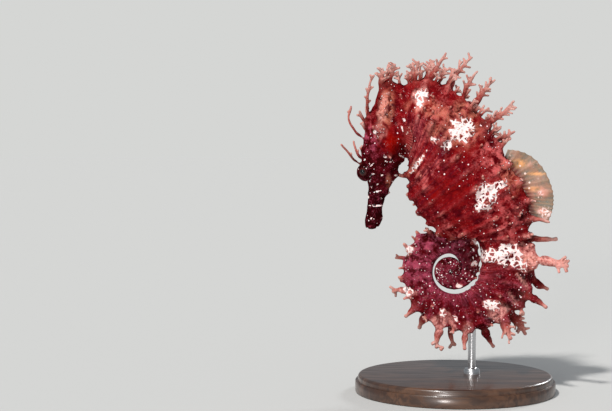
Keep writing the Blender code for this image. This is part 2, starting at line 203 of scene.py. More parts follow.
skin = {
    "seed": 11,
    "rings": ((-10, -5.1, 0.2), (-4.9, -0.1, 0.1), (0, 11, 0.125), (11.25, 54, 0.25)),  # first, last, step
    # on the two superior ridges: ring, side, length, direction at root and tip in degrees, root radius, twigs
    "filaments": (
        (-3.55, -1, 8.6, 138, 130, 0.5, 4), (-3.3, 1, 6.6, 128, 108, 0.45, 4),
        (-2.2, 1, 12.2, 150, 72, 0.55, 6), (-1.65, -1, 4.4, 118, 104, 0.8, 8),
        (-1.4, -1, 12.6, 105, 62, 0.8, 10), (-0.55, -1, 6.8, 90, 82, 1.6, 16),
        (-0.65, 1, 7.2, 68, 88, 0.94, 15), (-0.2, -1, 6.4, 84, 76, 1.02, 18),
        (0.25, 1, 7.4, 92, 76, 0.94, 12), (0.6, -1, 7, 84, 74, 1.1, 20), (1, 1, 7.9, 80, 60, 1.02, 20),
        (1.2, -1, 10.4, 68, 60, 1.19, 21), (1.9, 1, 12.2, 56, 44, 1.19, 21),
        (2.7, -1, 10, 72, 48, 1.19, 21), (3.2, 1, 12.2, 64, 40, 1.7, 22), (3.8, -1, 11, 28, 44, 1.44, 20),
        (4.7, 1, 6.8, 16, 44, 1.02, 8), (5.25, -1, 3.8, 56, 62, 1, 2), (9.1, -1, 6, 12, -32, 1.1, 2),
        (10.25, 1, 8.4, 0, 4, 1.2, 0), (11.55, -1, 10.6, -8, -12, 2.1, 8), (12.5, 1, 7.4, -34, -28, 1.9, 0),
        (13.4, -1, 7.4, -34, -38, 1.9, 1), (14.1, -1, 3.2, -44, -50, 1.3, 1),
        (14.6, 1, 9.6, -58, -52, 1.9, 12), (15.15, -1, 7.4, -64, -58, 1.7, 8),
        (16.4, 1, 8.6, -68, -56, 1.9, 0), (17.3, -1, 6.2, -90, -92, 1.5, 0), (18.3, 1, 7.6, -92, -64, 1.3, 2),
        (19.2, -1, 6.9, -102, -90, 1.6, 4), (20.2, 1, 6, -116, -112, 1.5, 0),
        (21.1, -1, 4.4, -132, -140, 1.3, 1), (22.1, 1, 5, 182, 216, 1.2, 2),
        (23.1, -1, 1.8, 172, 168, 1, 0), (24.3, 1, 3.9, 168, 188, 1, 1),
        (25.2, -1, 3.2, 136, 136, 1.1, 1), (26.2, 1, 2.5, 124, 120, 1, 0),
    ),
    # small ones on the head: ring, side, place round it, length, direction, lean to its own side, twigs
    "headTwigs": (
        (-2.75, -1, 0.1, 0.9, 128, 12, 1), (-2.75, 1, 0.12, 0.9, 120, 20, 1),
        (-1.9, -1, 0.15, 3.2, 104, 20, 2), (-1.5, -1, 0.1, 3.4, 90, 12, 3), (-0.55, 1, 0.1, 5.6, 76, 18, 7),
        (-0.3, -1, 0.1, 5.6, 84, 8, 6), (-0.4, -1, 0.3, 2.6, 96, 50, 1), (-1.6, -1, 0.33, 1.9, 110, 55, 1),
        (-0.75, -1, 0.36, 1.8, 80, 60, 0), (-2.35, -1, 0.62, 1.8, -40, 55, 1),
        (-2.35, 1, 0.62, 1.8, -40, 55, 1),
    ),
    # rows of still smaller ones: first and last ring, step, place round the body, lean, length, root radius,
    # choice of twigs, share present
    "minor": (
        (0.3, 5.2, 0.4, 0.15, 30, 5.4, 0.62, (4, 5, 8), 1),
        (0, 2.3, 0.4, 0.06, 8, 6, 0.62, (5, 7, 9), 1),
        (2.7, 5, 0.6, 0.06, 8, 4, 0.62, (3, 4, 5), 1),
        (6, 10, 1, 0.15, 30, 1.9, 0.62, (0, 1), 1),
        (11, 27, 1, 0.15, 30, 2.6, 0.62, (0, 1, 2), 1),
        (28, 34, 1, 0.15, 30, 0.9, 0.45, (0,), 1),
        (0, 9, 0.5, 0.27, 48, 1.5, 0.45, (0, 1), 0.6),
        (0.3, 9, 0.5, 0.36, 62, 1.2, 0.45, (0, 1), 0.5),
        (0, 10, 1, 0.45, 62, 1, 0.45, (0,), 0.6),
        (11, 20, 1, 0.45, 62, 0.8, 0.45, (0,), 0.4),
        (1, 8, 1, 0.75, 62, 0.7, 0.45, (0,), 0.4),
    ),
    # along the middle of the belly: ring, length, direction, root radius
    "keelSpines": (
        (-0.75, 2.4, 160, 0.5), (2.1, 2.9, 182, 1), (3, 0.5, 186, 0.6), (3.7, 1, 190, 1.1),
        (4.5, 0.5, 198, 0.7), (5.25, 1, 205, 1.1), (6.2, 0.6, 215, 0.8), (7.1, 0.6, 228, 0.7),
    ),
    "chinSpines": ((-4.1, 0.8, -15, 0.9), (-6.3, 0.1, -30, 0.5)),  # on the jaw, in the same order
    "mouth": ((0.4, 0.25), (0.35, -0.1), (0.15, -0.6)),  # lips, then the opening: how far in and how far out
    "ridge": 0.15,  # the superior ridge's place round the body
    "belly": 0.99,  # and that of the spines on the keel and the jaw
    "lean": 24,  # degrees that a great filament leans out to its own side
    "smallRoot": 0.62,  # root radius of a head twig
    "stemShape": (0.36, 0.66, 1.8),  # radius near the tip, width at the root, power of the narrowing
    "coneShape": (0.5, 0.8, 1),  # the same on the tail, whose filaments are cones that end in a knob
    "coneKnob": (0.75, 1.35),
    "coneRing": 9,  # cones begin after this ring, where the root is at least so thick
    "coneRadius": 1.2,
    "headRing": -2,  # the mane's first ring and its last one
    "tailRing": 11.6,
    "joint": (1.4, 1.15),  # length of a stem's joints, with few twigs and with many
    "wobble": (4, 14),  # degrees, on short or side ones and on long ones
    "ripe": {"spine": 0.85, "flank": 0.6, "head": 0.7, "tail": 0.8, "mane": 1},  # how pale the tips are
    "darkCones": (12.5, 13.4, 16.4),  # rings whose cones are pale only near the tip
    "lateTip": 2.6,
    "bulb": (0.3, 0.8),  # how far a stem's end closes in, and how far it stands out
    "fuller": (1.36, 1.08),  # what smoothing takes from a stem with four corners, and with more
    "twig": 0.3,
    "reach": (1.2, 2),  # how long the twigs of a short filament are, and of a long one
    "headReach": ((-1.9, 0.55), (-1.2, 1)),  # the same on the head, up to these rings
    "branched": (-1.7, 5, 12),  # rings between which twigs branch again on a stem with more than so many
    "twigJoint": 0.95,
    "longTwigs": 4,
    # degrees from the stem, share of the length, thickness
    "longTwig": {"turn": (24, 44), "reach": (1.2, 2), "thick": 1.15},
    "shortTwig": {"turn": (34, 70), "reach": (0.4, 0.85), "thick": 1},
    "thickRoot": 0.75,  # root radius from which a stem stands on several faces
    "rootTent": (1.5, 2.8, 4.6),  # how far out and how wide the skin is drawn, times the radius; widest, mm
    "rootSlope": (0.84, 1.5),  # share of that width that slopes, and the slope's power
    "rootTint": 0.25,  # how far a filament's colour spreads into the skin at its root
}


eye = {
    "centre": Vector((-24.4, 3.2, 28.1)),  # of the right eye, from the coil's centre
    "radius": 1.75,
    "gaze": Vector((-0.22, 0.97, 0.04)).normalized(),
    "turret": 2.1,  # radius of the skin round the ball
    "turretSteps": 26,
    # the turret from its root to the opening and in behind the ball: angle from the gaze, share of the radius
    "profile": (
        (180, 1.2), (132, 1.75), (114, 1.36), (100, 1), (87.75, 1), (75.5, 1), (63.25, 1),
        (47, 1.02), (43, 0.97), (42, 0.88), (47, 0.78), (0, 0.6),
    ),
    "ring": -3.4,  # the place on the body whose colours the turret takes
    "around": 0.3,
}



def heading(degrees, lean):
    flat, out = math.radians(degrees), math.radians(lean)
    return Vector((math.cos(flat) * math.cos(out), math.sin(out), math.sin(flat) * math.cos(out)))


def markVerts(verts, layers, **values):
    for vert in verts:
        for name, value in values.items():
            vert[layers[name]] = value


def faceOutwards(bm):
    bmesh.ops.recalc_face_normals(bm, faces=bm.faces)


def spun(bm, row, axis, centre, steps):
    # spins a row of vertices right round an axis
    edges = [bm.edges.new(pair) for pair in zip(row, row[1:])]
    known = set(bm.verts) - set(row)
    bmesh.ops.spin(bm, geom=row + edges, axis=axis, cent=centre, angle=math.tau, steps=steps, use_merge=True)
    bmesh.ops.remove_doubles(bm, verts=[v for v in bm.verts if v not in known], dist=0.001)


def eyeTurret(bm, layers, side):
    # spins the skin of one eye's turret round the direction of its gaze
    flip = Vector((1, side, 1))
    centre, gaze = body["coil"] + eye["centre"] * flip, eye["gaze"] * flip
    across, row = gaze.cross(Vector((0, 0, 1))).normalized(), []
    for degrees, share in eye["profile"]:
        angle = math.radians(degrees)
        spoke = gaze * math.cos(angle) + across * math.sin(angle)
        row.append(bm.verts.new(centre + spoke * share * eye["turret"]))
    markVerts(row, layers, ring=eye["ring"], around=eye["around"], lid=1.0)
    spun(bm, row, gaze, centre, eye["turretSteps"])


def extruded(bm, face, points):
    face = bmesh.ops.extrude_discrete_faces(bm, faces=[face])["faces"][0]
    for vert, point in zip(face.verts, points):
        vert.co = point
    return face


def ringSteps():
    made = []
    for first, last, step in skin["rings"]:
        count = round((last - first) / step)
        made += [first + (last - first) * i / count for i in range(count + 1)]
    return made


def bodyCage(bm, layers):
    end = None
    for ring in ringSteps():
        points, places = zip(*sectionPoints(ring))
        end = bm.faces.new([bm.verts.new(p) for p in points]) if end is None else extruded(bm, end, points)
        for vert, place in zip(end.verts, places):
            markVerts([vert], layers, ring=ring, around=place)
    mouth = bmesh.ops.holes_fill(bm, edges=[e for e in bm.edges if e.is_boundary], sides=0)["faces"]
    for thickness, depth in skin["mouth"]:
        bmesh.ops.inset_region(bm, faces=mouth, thickness=thickness, depth=depth)
    faceOutwards(bm)


def growStem(bm, layers, face, directions, step, radii, stems):
    # draws a stem out of one face; returns each joint's centre and the walls below it
    centre, corners, joints = face.calc_center_median(), len(face.verts), []
    first, second = face.verts[0].co - centre, face.verts[1].co - centre
    turn = 1 if first.cross(second).dot(directions[0]) > 0 else -1
    for direction, radius, stem in zip(directions, radii, stems):
        centre = centre + direction * step
        first = (first - direction * first.dot(direction)).normalized()
        size = radius * skin["fuller"][corners != 4]
        angles = [math.tau / corners * k * turn for k in range(corners)]
        spokes = [Matrix.Rotation(angle, 3, direction) @ first * size for angle in angles]
        face = extruded(bm, face, [centre + spoke for spoke in spokes])
        markVerts(face.verts, layers, stem=stem)
        walls = [f for e in face.edges for f in e.link_faces if f is not face]
        joints.append((centre, walls))
    closing, standing = skin["bulb"]
    bulb = [vert.co.lerp(centre, closing) + direction * radius * standing for vert in face.verts]
    markVerts(extruded(bm, face, bulb).verts, layers, stem=stem)
    return joints


def addTwigs(bm, layers, joints, amount, length, flat, lean, rng, depth, spread=0.8, thick=1.0):
    # side branches on alternate sides of a stem: a few long ones, which branch again, and short ones
    used, side = set(), rng.choice((-1, 1))
    last = len(joints) - 1
    for n in range(amount):
        long = depth > 0 and n < skin["longTwigs"]
        kind = skin["longTwig" if long else "shortTwig"]
        i = min(last, 1 + 2 * n) if long else last - (n % max(round(last * spread), 1))
        centre, walls = joints[i]
        side = -side
        turn = side * rng.uniform(*kind["turn"])
        direction = heading(flat + turn, lean + rng.uniform(-50, 50))

        def facing(wall):
            return (wall.calc_center_median() - centre).normalized().dot(direction)

        free = [w for w in walls if w.is_valid and len(w.verts) == 4 and w not in used]
        wall = max(free, key=facing, default=None)
        if wall is None or facing(wall) < 0.1:
            continue
        used.add(wall)
        reach = length * rng.uniform(*kind["reach"])
        count = max(1, round(reach / skin["twigJoint"]))
        bend = rng.uniform(-0.7, 0.1) / count
        bends = [flat + turn * (1 + bend * k) for k in range(count)]
        directions = [heading(degrees, lean + rng.uniform(-25, 25)) for degrees in bends]
        size = skin["twig"] * thick
        radii = [size * rng.uniform(0.8, 1.15) * kind["thick"] for k in range(count)]
        radii[-1] = size * rng.uniform(1.0, 1.4)
        made = growStem(bm, layers, wall, directions, reach / count, radii, [0.85] * (count - 1) + [1.0])
        if long:
            addTwigs(bm, layers, made, 4, length * 0.7, flat + turn, lean, rng, 0)


def drawOutRoot(verts, layers, root, direction, radius):
    height, reach = skin["rootTent"][0] * radius, min(skin["rootTent"][1] * radius, skin["rootTent"][2])
    slope, power = skin["rootSlope"]
    for vert in verts:
        away = (vert.co - root).length / reach
        if away < 1:
            rise = min((1 - away) / slope, 1.0)
            vert.co += direction * height * rise**power
            vert[layers["stem"]] = max(vert[layers["stem"]], skin["rootTint"] * rise)


def minorFilaments(rng):
    # the small filaments on the ring tubercles between the great ones, on both sides
    made = []
    for side in sides.values():
        mains = [row[0] for row in skin["filaments"] if row[1] == side]
        for first, last, step, place, lean, longest, radius, twigs, present in skin["minor"]:
            for k in range(int((last - first) / step) + 1):
                ring = first + k * step + rng.uniform(-0.1, 0.1) * step
                skipped = rng.random() > present
                if place == skin["ridge"] and min(abs(ring - main) for main in mains) < 0.42 * step:
                    skipped = True
                if skipped:
                    continue
                ventral, dorsal = bodyAt(ring)[:2]
                away = skinPoint(ring, side, place) - (ventral + dorsal) / 2
                flat = math.degrees(math.atan2(away.z, away.x)) + rng.uniform(-12, 12)
                length = longest * rng.uniform(0.5, 1.0)
                made.append((ring, side, place, flat, lean * side, radius, length, flat, rng.choice(twigs)))
    return made


def skinPlans(rng):
    # all that grows: ring, side, place round it, direction and lean, root radius, length, tip's direction and
    # twigs
    made = []
    for ring, side, length, start, end, radius, twigs in skin["filaments"]:
        made.append((ring, side, skin["ridge"], start, skin["lean"] * side, radius, length, end, twigs))
    for ring, side, place, length, turn, lean, twigs in skin["headTwigs"]:
        made.append((ring, side, place, turn, lean * side, skin["smallRoot"], length, turn, twigs))

    def spines(rows):
        place = skin["belly"]
        return [(ring, 1, place, turn, 0, radius, length, turn, 0) for ring, length, turn, radius in rows]

    return made + spines(skin["keelSpines"]) + minorFilaments(rng) + spines(skin["chinSpines"])


def rootFace(bm, faces, root, direction, radius):
    # the face at the top of a drawn-out root; for a thick stem, the faces round it become one
    aim = root + direction * skin["rootTent"][0] * radius
    face = min(faces, key=lambda f: (faces[f] - aim).length_squared)
    patch, edge = [face], [face]  # lists, so that every run joins them in the same order
    while edge and radius > skin["thickRoot"]:
        near = [o for f in edge for e in f.edges for o in e.link_faces if o in faces and o not in patch]
        off = {o: faces[o] - faces[face] for o in near}
        edge = [o for o in off if (off[o] - direction * off[o].dot(direction)).length < 0.5 * radius]
        patch += edge
    for f in patch:
        del faces[f]
    if len(patch) < 2:
        return face
    joined = bmesh.ops.dissolve_faces(bm, faces=patch)["region"]
    return max(joined, key=lambda f: f.calc_area())


def growFilament(
    bm, layers, faces, rng, root, direction, ring, place, start, lean, radius, length, end, twigs
):
    face = rootFace(bm, faces, root, direction, radius)
    count = max(2, round(length / skin["joint"][twigs > 3]))
    left = max(length - skin["rootTent"][0] * radius * 0.8, length * 0.5)
    wobble = skin["wobble"][length > 3 and place < 0.3]
    directions = []
    for k in range(count):
        degrees = start + (end - start) * k / max(count - 1, 1) + rng.uniform(-wobble, wobble)
        directions.append(heading(degrees, lean + rng.uniform(-wobble, wobble)))
    cone = ring > skin["coneRing"] and radius >= skin["coneRadius"]
    tip, width, narrowing = skin["coneShape" if cone else "stemShape"]
    spare = max(radius * width - tip, 0)
    radii = [(tip + spare * (1 - k / count) ** narrowing) * rng.uniform(0.85, 1.15) for k in range(count)]
    if cone:
        radii[-2:] = [tip * share for share in skin["coneKnob"]]
    part = "head" if ring < skin["headRing"] else "tail" if ring > skin["tailRing"] else "mane"
    ripe = skin["ripe"]["spine" if place > 0.9 else "flank" if place > 0.2 else part]
    late = skin["lateTip"] if ring in skin["darkCones"] else 1.0
    stems = [(0.15 + 0.85 * ((k + 1) / count) ** late) * ripe for k in range(count)]
    joints = growStem(bm, layers, face, directions, left / count * 1.03, radii, stems)
    first, last, fewest = skin["branched"]
    depth = 1 if twigs > fewest and first < ring < last else 0
    reach = next((size for last, size in skin["headReach"] if ring < last), skin["reach"][length > 4])
    knobs = radius > 2 or (cone and twigs < 6)  # a hand of thick knobs at the end
    spread, thick = (0.4, 1.5) if knobs else (0.8, 1.0)
    addTwigs(bm, layers, joints, twigs, reach, (start + end) / 2, lean, rng, depth, spread, thick)


def skinCage():
    rng = random.Random(skin["seed"])
    bm = bmesh.new()
    layers = {name: bm.verts.layers.float.new(name) for name in ("ring", "around", "stem", "lid")}
    bodyCage(bm, layers)
    bodyVerts, plans = list(bm.verts), []
    for ring, side, place, start, lean, radius, *others in skinPlans(rng):
        root, direction = skinPoint(ring, side, place), heading(start, lean)
        drawOutRoot(bodyVerts, layers, root, direction, radius)
        plans.append((root, direction, ring, place, start, lean, radius, *others))
    faces = {face: face.calc_center_median() for face in bm.faces}
    print("body cage:", len(faces), "faces")
    for plan in plans:
        growFilament(bm, layers, faces, rng, *plan)
    for side in sides.values():
        eyeTurret(bm, layers, side)
    faceOutwards(bm)
    return bm


def newObject(name, bm, material=None, smooth=True):
    # takes a bmesh in millimetres
    bmesh.ops.scale(bm, verts=bm.verts, vec=Vector((mm, mm, mm)))
    mesh = bpy.data.meshes.new(name)
    bm.to_mesh(mesh)
    bm.free()
    if smooth:
        mesh.shade_smooth()
    if material:
        mesh.materials.append(material)
    made = bpy.data.objects.new(name, mesh)
    bpy.context.scene.collection.objects.link(made)
    return made


def subdivide(obj, levels):
    modifier = obj.modifiers.new("smooth", "SUBSURF")
    modifier.levels = modifier.render_levels = levels
    graph = bpy.context.evaluated_depsgraph_get()
    smooth = obj.evaluated_get(graph)
    mesh = bpy.data.meshes.new_from_object(smooth, preserve_all_data_layers=True, depsgraph=graph)
    old = obj.data
    obj.modifiers.clear()
    obj.data = mesh
    mesh.name = old.name
    bpy.data.meshes.remove(old)
    mesh.shade_smooth()


def readNumbers(rows, name):
    values = np.zeros(len(rows) * (1 if name == "value" else 3), np.float32)
    rows.foreach_get(name, values)
    return values.astype(float) if name == "value" else values.reshape(-1, 3).astype(float)


def readValues(mesh, name):
    return readNumbers(mesh.attributes[name].data, "value")


def writeValues(mesh, name, values):
    layer = mesh.attributes.get(name) or mesh.attributes.new(name, "FLOAT", "POINT")
    layer.data.foreach_set("value", np.asarray(values, np.float32))


def smoothStep(low, high, x):
    t = np.clip((x - low) / (high - low), 0, 1)
    return t * t * (3 - 2 * t)


def noiseAt(points, size, seed=0.0):
    # smooth noise of about -1 to 1 whose lumps are about this many mm wide
    shift = Vector((seed, seed * 1.7, -seed))
    return np.array([noise.noise(Vector(p) / size + shift) for p in points])


relief = {
    "ringHeight": ((-1, 0), (0, 0.06), (2, 0.2), (9, 0.24), (13, 0.24), (28, 0.15), (49, 0.05)),
    "ringWidth": 0.15,
    "knobWidth": 0.17,
    "tubercleRings": (0, 6, 11, 20, 35, 49),
    # place round the body, spread, then heights at those rings
    "tubercles": (
        (0.15, 0.045, (0.5, 0.7, 0.7, 0.6, 0.25, 0)),
        (0.45, 0.045, (0.4, 0.6, 0.5, 0.12, 0, 0)),
        (0.75, 0.045, (0.3, 0.45, 0.45, 0.3, 0.12, 0)),
        (1, 0.06, (0.5, 0.6, 0, 0, 0, 0)),
    ),
    "lumps": ((3, 0.34), (1.25, 0.24), (0.6, 0.08)),  # size and height of the skin's own unevenness
    "lumpShare": ((-10, 0.4), (-5, 0.6), (0, 1), (12, 0.7), (30, 0.4), (49, 0.2)),  # how much of it, by ring
    # head: x and z from the coil's centre, radius, height; on both sides
    "domes": (
        (-16.5, 36.6, 4.3, 1.5),  # gill cover
        (-15.6, 29.9, 1.2, 0.7),  # cheek spine
        (-21.5, 32.6, 1.6, 0.5),  # behind the eye
        (-22, 25.2, 1.1, 0.45),  # nose spine
    ),
}


def skinRelief(obj):
    mesh = obj.data
    points, normals = readNumbers(mesh.vertices, "co") / mm, readNumbers(mesh.vertex_normals, "vector")
    ring, around, stem, lid = (readValues(mesh, name) for name in ("ring", "around", "stem", "lid"))
    phase = ring - np.round(ring)
    crest = np.exp(-((phase / relief["ringWidth"]) ** 2))
    height = np.interp(ring, *zip(*relief["ringHeight"])) * (crest - 0.25)
    uneven = 0.75 + 0.5 * np.abs(np.sin(np.round(ring) * 2.4))
    knobs = np.zeros(len(ring))
    for place, spread, sizes in relief["tubercles"]:
        size = np.interp(ring, relief["tubercleRings"], sizes) * smoothStep(-0.5, 0.5, ring)
        knob = np.exp(-((phase / relief["knobWidth"]) ** 2)) * np.exp(-(((around - place) / spread) ** 2))
        height += size * uneven * knob
        knobs = np.maximum(knobs, knob * smoothStep(0, 1, ring))
    # the knob and crest masks also carry the pink painted highlights on the tubercles and ring crests
    writeValues(mesh, "knob", knobs)
    writeValues(mesh, "crest", crest * smoothStep(0, 1.5, ring))
    calm = np.interp(ring, *zip(*relief["lumpShare"]))
    for i, (size, amount) in enumerate(relief["lumps"]):
        height += amount * calm * noiseAt(points, size, 3.1 * i)
    rest = points - np.array(body["coil"])
    for x, z, radius, amount in relief["domes"]:
        away = np.hypot(rest[:, 0] - x, rest[:, 2] - z) / radius
        flank = smoothStep(0.2, 0.5, np.abs(normals[:, 1])) * (ring < 0.6)
        height += amount * flank * np.clip(1 - away**2, 0, 1) ** 1.5
    # flatter under the coil, at its end, on the lids and on the filaments
    calm = 1 - 0.95 * smoothStep(13, 18, ring) * smoothStep(0.64, 0.72, around)
    calm *= (1 - 0.8 * smoothStep(30, 36, ring)) * (1 - 0.75 * lid) * (1 - smoothStep(0.2, 0.4, stem))
    points += normals * (height * calm)[:, None]
    mesh.vertices.foreach_set("co", (points * mm).astype(np.float32).ravel())
    mesh.update()


markings = {
    # x and z from the coil's centre, half sizes, turn in degrees, first and last ring, strength
    "spots": {
        "pale": (
            (2.6, 39.9, 3.5, 3.7, 0, 0, 6, 1), (12, 24.3, 3.2, 1.5, 22, 3.5, 10, 1),
            (8.2, 22.4, 1.6, 2.6, 0, 3.5, 10, 0.9), (11, 21.4, 1.6, 1.6, 0, 3.5, 10, 1),
            (8.4, 18.6, 2.6, 1.3, 8, 3.5, 10, 0.9), (11.2, 4.9, 4.8, 2.3, -4, 9.2, 14, 0.68),
            (15.6, 5.6, 3.9, 3.1, -10, 9.2, 14, 0.95), (18.2, 3, 3.2, 2, -25, 9.2, 14, 0.68),
            (11.4, -8.6, 2.8, 1.7, 0, 12, 18, 0.75), (-8.4, 49, 1.6, 3, -24, -0.6, 3, 0.85),
            (-9.4, 30.6, 0.75, 3.6, -38, 0, 3, 0.62), (-4.6, 37, 1.4, 0.7, -20, 0, 5, 0.8),
            (-1.4, 35.6, 1.7, 1.6, 20, 0, 5, 0.65), (6.4, 2.2, 1, 0.9, 30, 27, 34, 1),
            (2.1, -4.2, 0.9, 0.6, 0, 27, 40, 1), (-12, 5.9, 1.5, 1.5, 0, 22, 28, 0.95),
            (-12.2, -5.6, 1.6, 1.4, 0, 20, 26, 0.85), (-2.4, -11.2, 0.9, 1.5, 0, 16, 22, 0.75),
            (1.2, -12.6, 0.6, 1.6, 30, 14, 20, 0.6),
        ),
        "mark": (
            (-21.9, 27.5, 0.6, 0.28, 10, -7, -3, 1), (-19.3, 27.2, 0.6, 0.28, 10, -7, -3, 1),
            (-15.6, 27.1, 0.5, 0.35, 0, -7, -2, 1), (-17.1, 30.9, 0.3, 0.28, 0, -4, -2, 1),
            (-17.9, 30.9, 0.3, 0.22, 0, -4, -2, 0.8), (-18.4, 32.4, 0.5, 0.5, 0, -4, -1.5, 0.7),
            (-20.7, 24.6, 0.32, 0.28, 0, -7, -4, 1), (-22.4, 23.9, 0.25, 0.6, 20, -7, -4, 0.9),
            (-22.9, 25.6, 0.25, 0.5, 0, -7, -4, 0.7), (-20.7, 22.6, 1.3, 0.25, 12, -7, -5, 1),
            (-17.4, 22.2, 0.4, 0.35, 0, -7, -4.5, 0.9), (-23.4, 20.9, 0.35, 0.5, 0, -8, -5, 0.8),
            (-19.6, 20.6, 0.25, 0.3, 0, -8, -5, 0.7), (-20.4, 18.6, 3.6, 0.22, 0, -8, -6.5, 1),
            (-22.4, 15, 0.35, 0.3, 0, -9.6, -8, 0.9), (-19.2, 15.2, 0.4, 0.3, 0, -9.6, -8, 0.7),
            (-22.1, 30.1, 0.9, 0.22, 40, -4.5, -2.4, 0.7), (-24.3, 31.5, 0.35, 0.35, 0, -4.5, -2.4, 0.9),
            (-21.1, 39.2, 0.9, 0.6, 0, -3, -1, 0.8), (-20.5, 37.8, 0.5, 0.45, 0, -3, -1, 0.7),
            (-13.6, 40, 0.4, 1.3, 20, -1.5, 1, 0.6), (-13.2, 42.6, 0.5, 0.8, 10, -1.5, 1, 0.7),
            (-13.9, 32.4, 1.1, 0.3, -30, -3, 1.5, 0.8),
        ),
        "glow": (
            (-16.8, 36.4, 4.4, 4.2, 0, -3, 0.6, 0.9), (-0.5, 24.5, 9, 8, 30, 1.5, 10, 0.7),
            (3, 14, 8, 5, 20, 4, 10, 0.4), (2.5, 33.5, 4, 3, 0, 1, 6, 0.5),
        ),
        "hot": ((-16.5, 36.6, 2, 3.8, 0, -3, 0.6, 0.9),),
        "tan": (
            (-18.2, 46, 2.8, 6.8, -8, -3, 0.6, 1), (-6, 45.4, 8, 3.2, -12, -0.5, 4.5, 0.6),
            (-5, 40, 3, 3.6, 20, -0.3, 4, 0.45), (3.2, 45.5, 4, 2.5, -30, 1, 5, 0.6),
            (2.6, 40, 7, 6.6, 0, 0, 6, 0.8), (16, 27, 3.4, 6, 25, 4.5, 9, 0.55),
            (-17.6, 25.6, 0.9, 2.6, 0, -6, -3, 0.6), (-10.6, 29.4, 1.3, 4.2, -38, 0, 3.4, 0.7),
            (22, 3.6, 4.5, 3, -14, 9.5, 14, 0.9), (-2, 9, 8, 2, -18, 6, 10, 0.25),
        ),
        "blush": (
            (24, 4.2, 7.5, 3.6, -10, 9.2, 14, 1), (31, 0.5, 4, 3.5, 0, 9.2, 14, 1),
            (-13.2, 6, 3, 2.2, 0, 21, 28, 0.9), (-13, -6.4, 3, 2, 0, 19, 26, 0.85),
            (-3.6, -14.5, 2.4, 3.4, 0, 15, 22, 0.75), (0.4, -14, 1, 3.6, 18, 14, 21, 0.5),
            (4.8, -16, 1.6, 3, 0, 14, 20, 0.5), (19.2, -1.4, 3.4, 0.5, -50, 9, 15, 0.7),
            (16.9, -6.9, 2.4, 0.5, -58, 10, 16, 0.7), (13.4, -14.6, 0.5, 2.4, 20, 12, 18, 0.5),
            (12.6, -10, 3.2, 3.2, 0, 11, 17, 0.8), (-8.8, 49, 2.2, 3.6, -20, -1, 3, 1),
            (-19.8, 40, 2, 4, 0, -3, -1, 0.35), (-19.2, 45.6, 1.7, 4.6, -8, -2.4, 0.2, 0.6),
            (22, 10.5, 3, 1, 0, 8, 12, 0.5),
        ),
        "dark": (
            (20, -0.9, 4, 2.6, 0, 9, 15, 1), (18.4, -5.3, 4, 2.4, 0, 10, 16, 1),
            (15.6, -8.9, 2.4, 2.2, 0, 11, 17, 1), (11.6, -12.9, 3, 1.8, 0, 12, 18, 0.9),
            (20.4, 8.2, 3.6, 1.6, 0, 8, 12, 1), (20.4, 15.4, 3.4, 2.2, -20, 7, 11, 1),
            # the first spot on the next line is painted shade under the gill cover
            (-13, 34.6, 2, 2.4, -30, -2, 2, 0.7), (-24.5, 28.3, 3.2, 3.2, 0, -5, -2, 0.95),
            (-21.5, 18.5, 7, 9, 0, -10, -4.4, 0.85), (14.2, 37, 1.6, 3, 20, 2, 6, 0.7),
            (6, 44.5, 2.2, 1.4, -35, 1, 4, 0.6), (3, 8.2, 5, 1.2, -14, 6, 10.5, 0.6),
        ),
        "plum": (
            (-22.8, 38, 2.6, 6.5, 0, -3.2, -0.6, 0.7), (-9, 38, 3.6, 8, -30, -0.3, 3, 0.6),
            (-5.5, 28, 3.6, 7.5, -30, 1.5, 6, 0.75), (0, 12, 7, 3, -20, 6, 10, 0.35),
            (14, 15, 6.5, 8, 0, 6, 12, 0.6), (12, 32, 6, 9, 35, 2, 8, 0.95),
            (-2, 44, 9, 5, -10, -0.5, 4, 0.6), (-9, 44, 4, 7, -10, -0.6, 3, 0.7),
            (-4, 5, 16, 13, 0, 13, 30, 0.65), (0, 0, 9, 9, 0, 29, 55, 0.2),
        ),
    },
    "edges": {"pale": (0.42, 0.3), "mark": (0.12, 0.5), "blush": (0.45, 0.4)},  # how ragged and how soft
    "otherEdges": (0.3, 0.7),
    "wander": 1.8,  # size of the edges' lumps, mm
    "bodyOnly": ("pale", "mark", "dark"),  # not on the filaments
    "lidShade": 0.75,
    # by ring: how maroon the red is, and how many specks there are
    "maroon": (
        (-10, 1), (-4, 1), (-2.6, 0.9), (-1.2, 0.35), (0.5, 0.1), (9, 0.15), (12, 0.5), (22, 0.8), (49, 0.9),
    ),
    "dots": (
        (-10, 0.2), (-5, 0.5), (-2, 0.9), (0, 0.55), (3, 0.2), (6, 0.2), (9, 0.5), (14, 0.85), (20, 1.1),
        (49, 1.45),
    ),
}


def spotsOn(rest, ring, wander, name):
    # 1 inside the spots of this name and 0 outside, with a ragged edge
    rough, soft = markings["edges"].get(name, markings["otherEdges"])
    made = np.zeros(len(rest))
    for cx, cz, rx, rz, turn, first, last, strength in markings["spots"][name]:
        c, s = math.cos(math.radians(turn)), math.sin(math.radians(turn))
        x, z = rest[:, 0] - cx, rest[:, 2] - cz
        inside = 1 - np.sqrt(((x * c + z * s) / rx) ** 2 + ((z * c - x * s) / rz) ** 2) + rough * wander
        window = smoothStep(first - 0.3, first + 0.3, ring) * (1 - smoothStep(last - 0.3, last + 0.3, ring))
        made = np.maximum(made, smoothStep(-0.1, soft, inside) * window * strength)
    return made


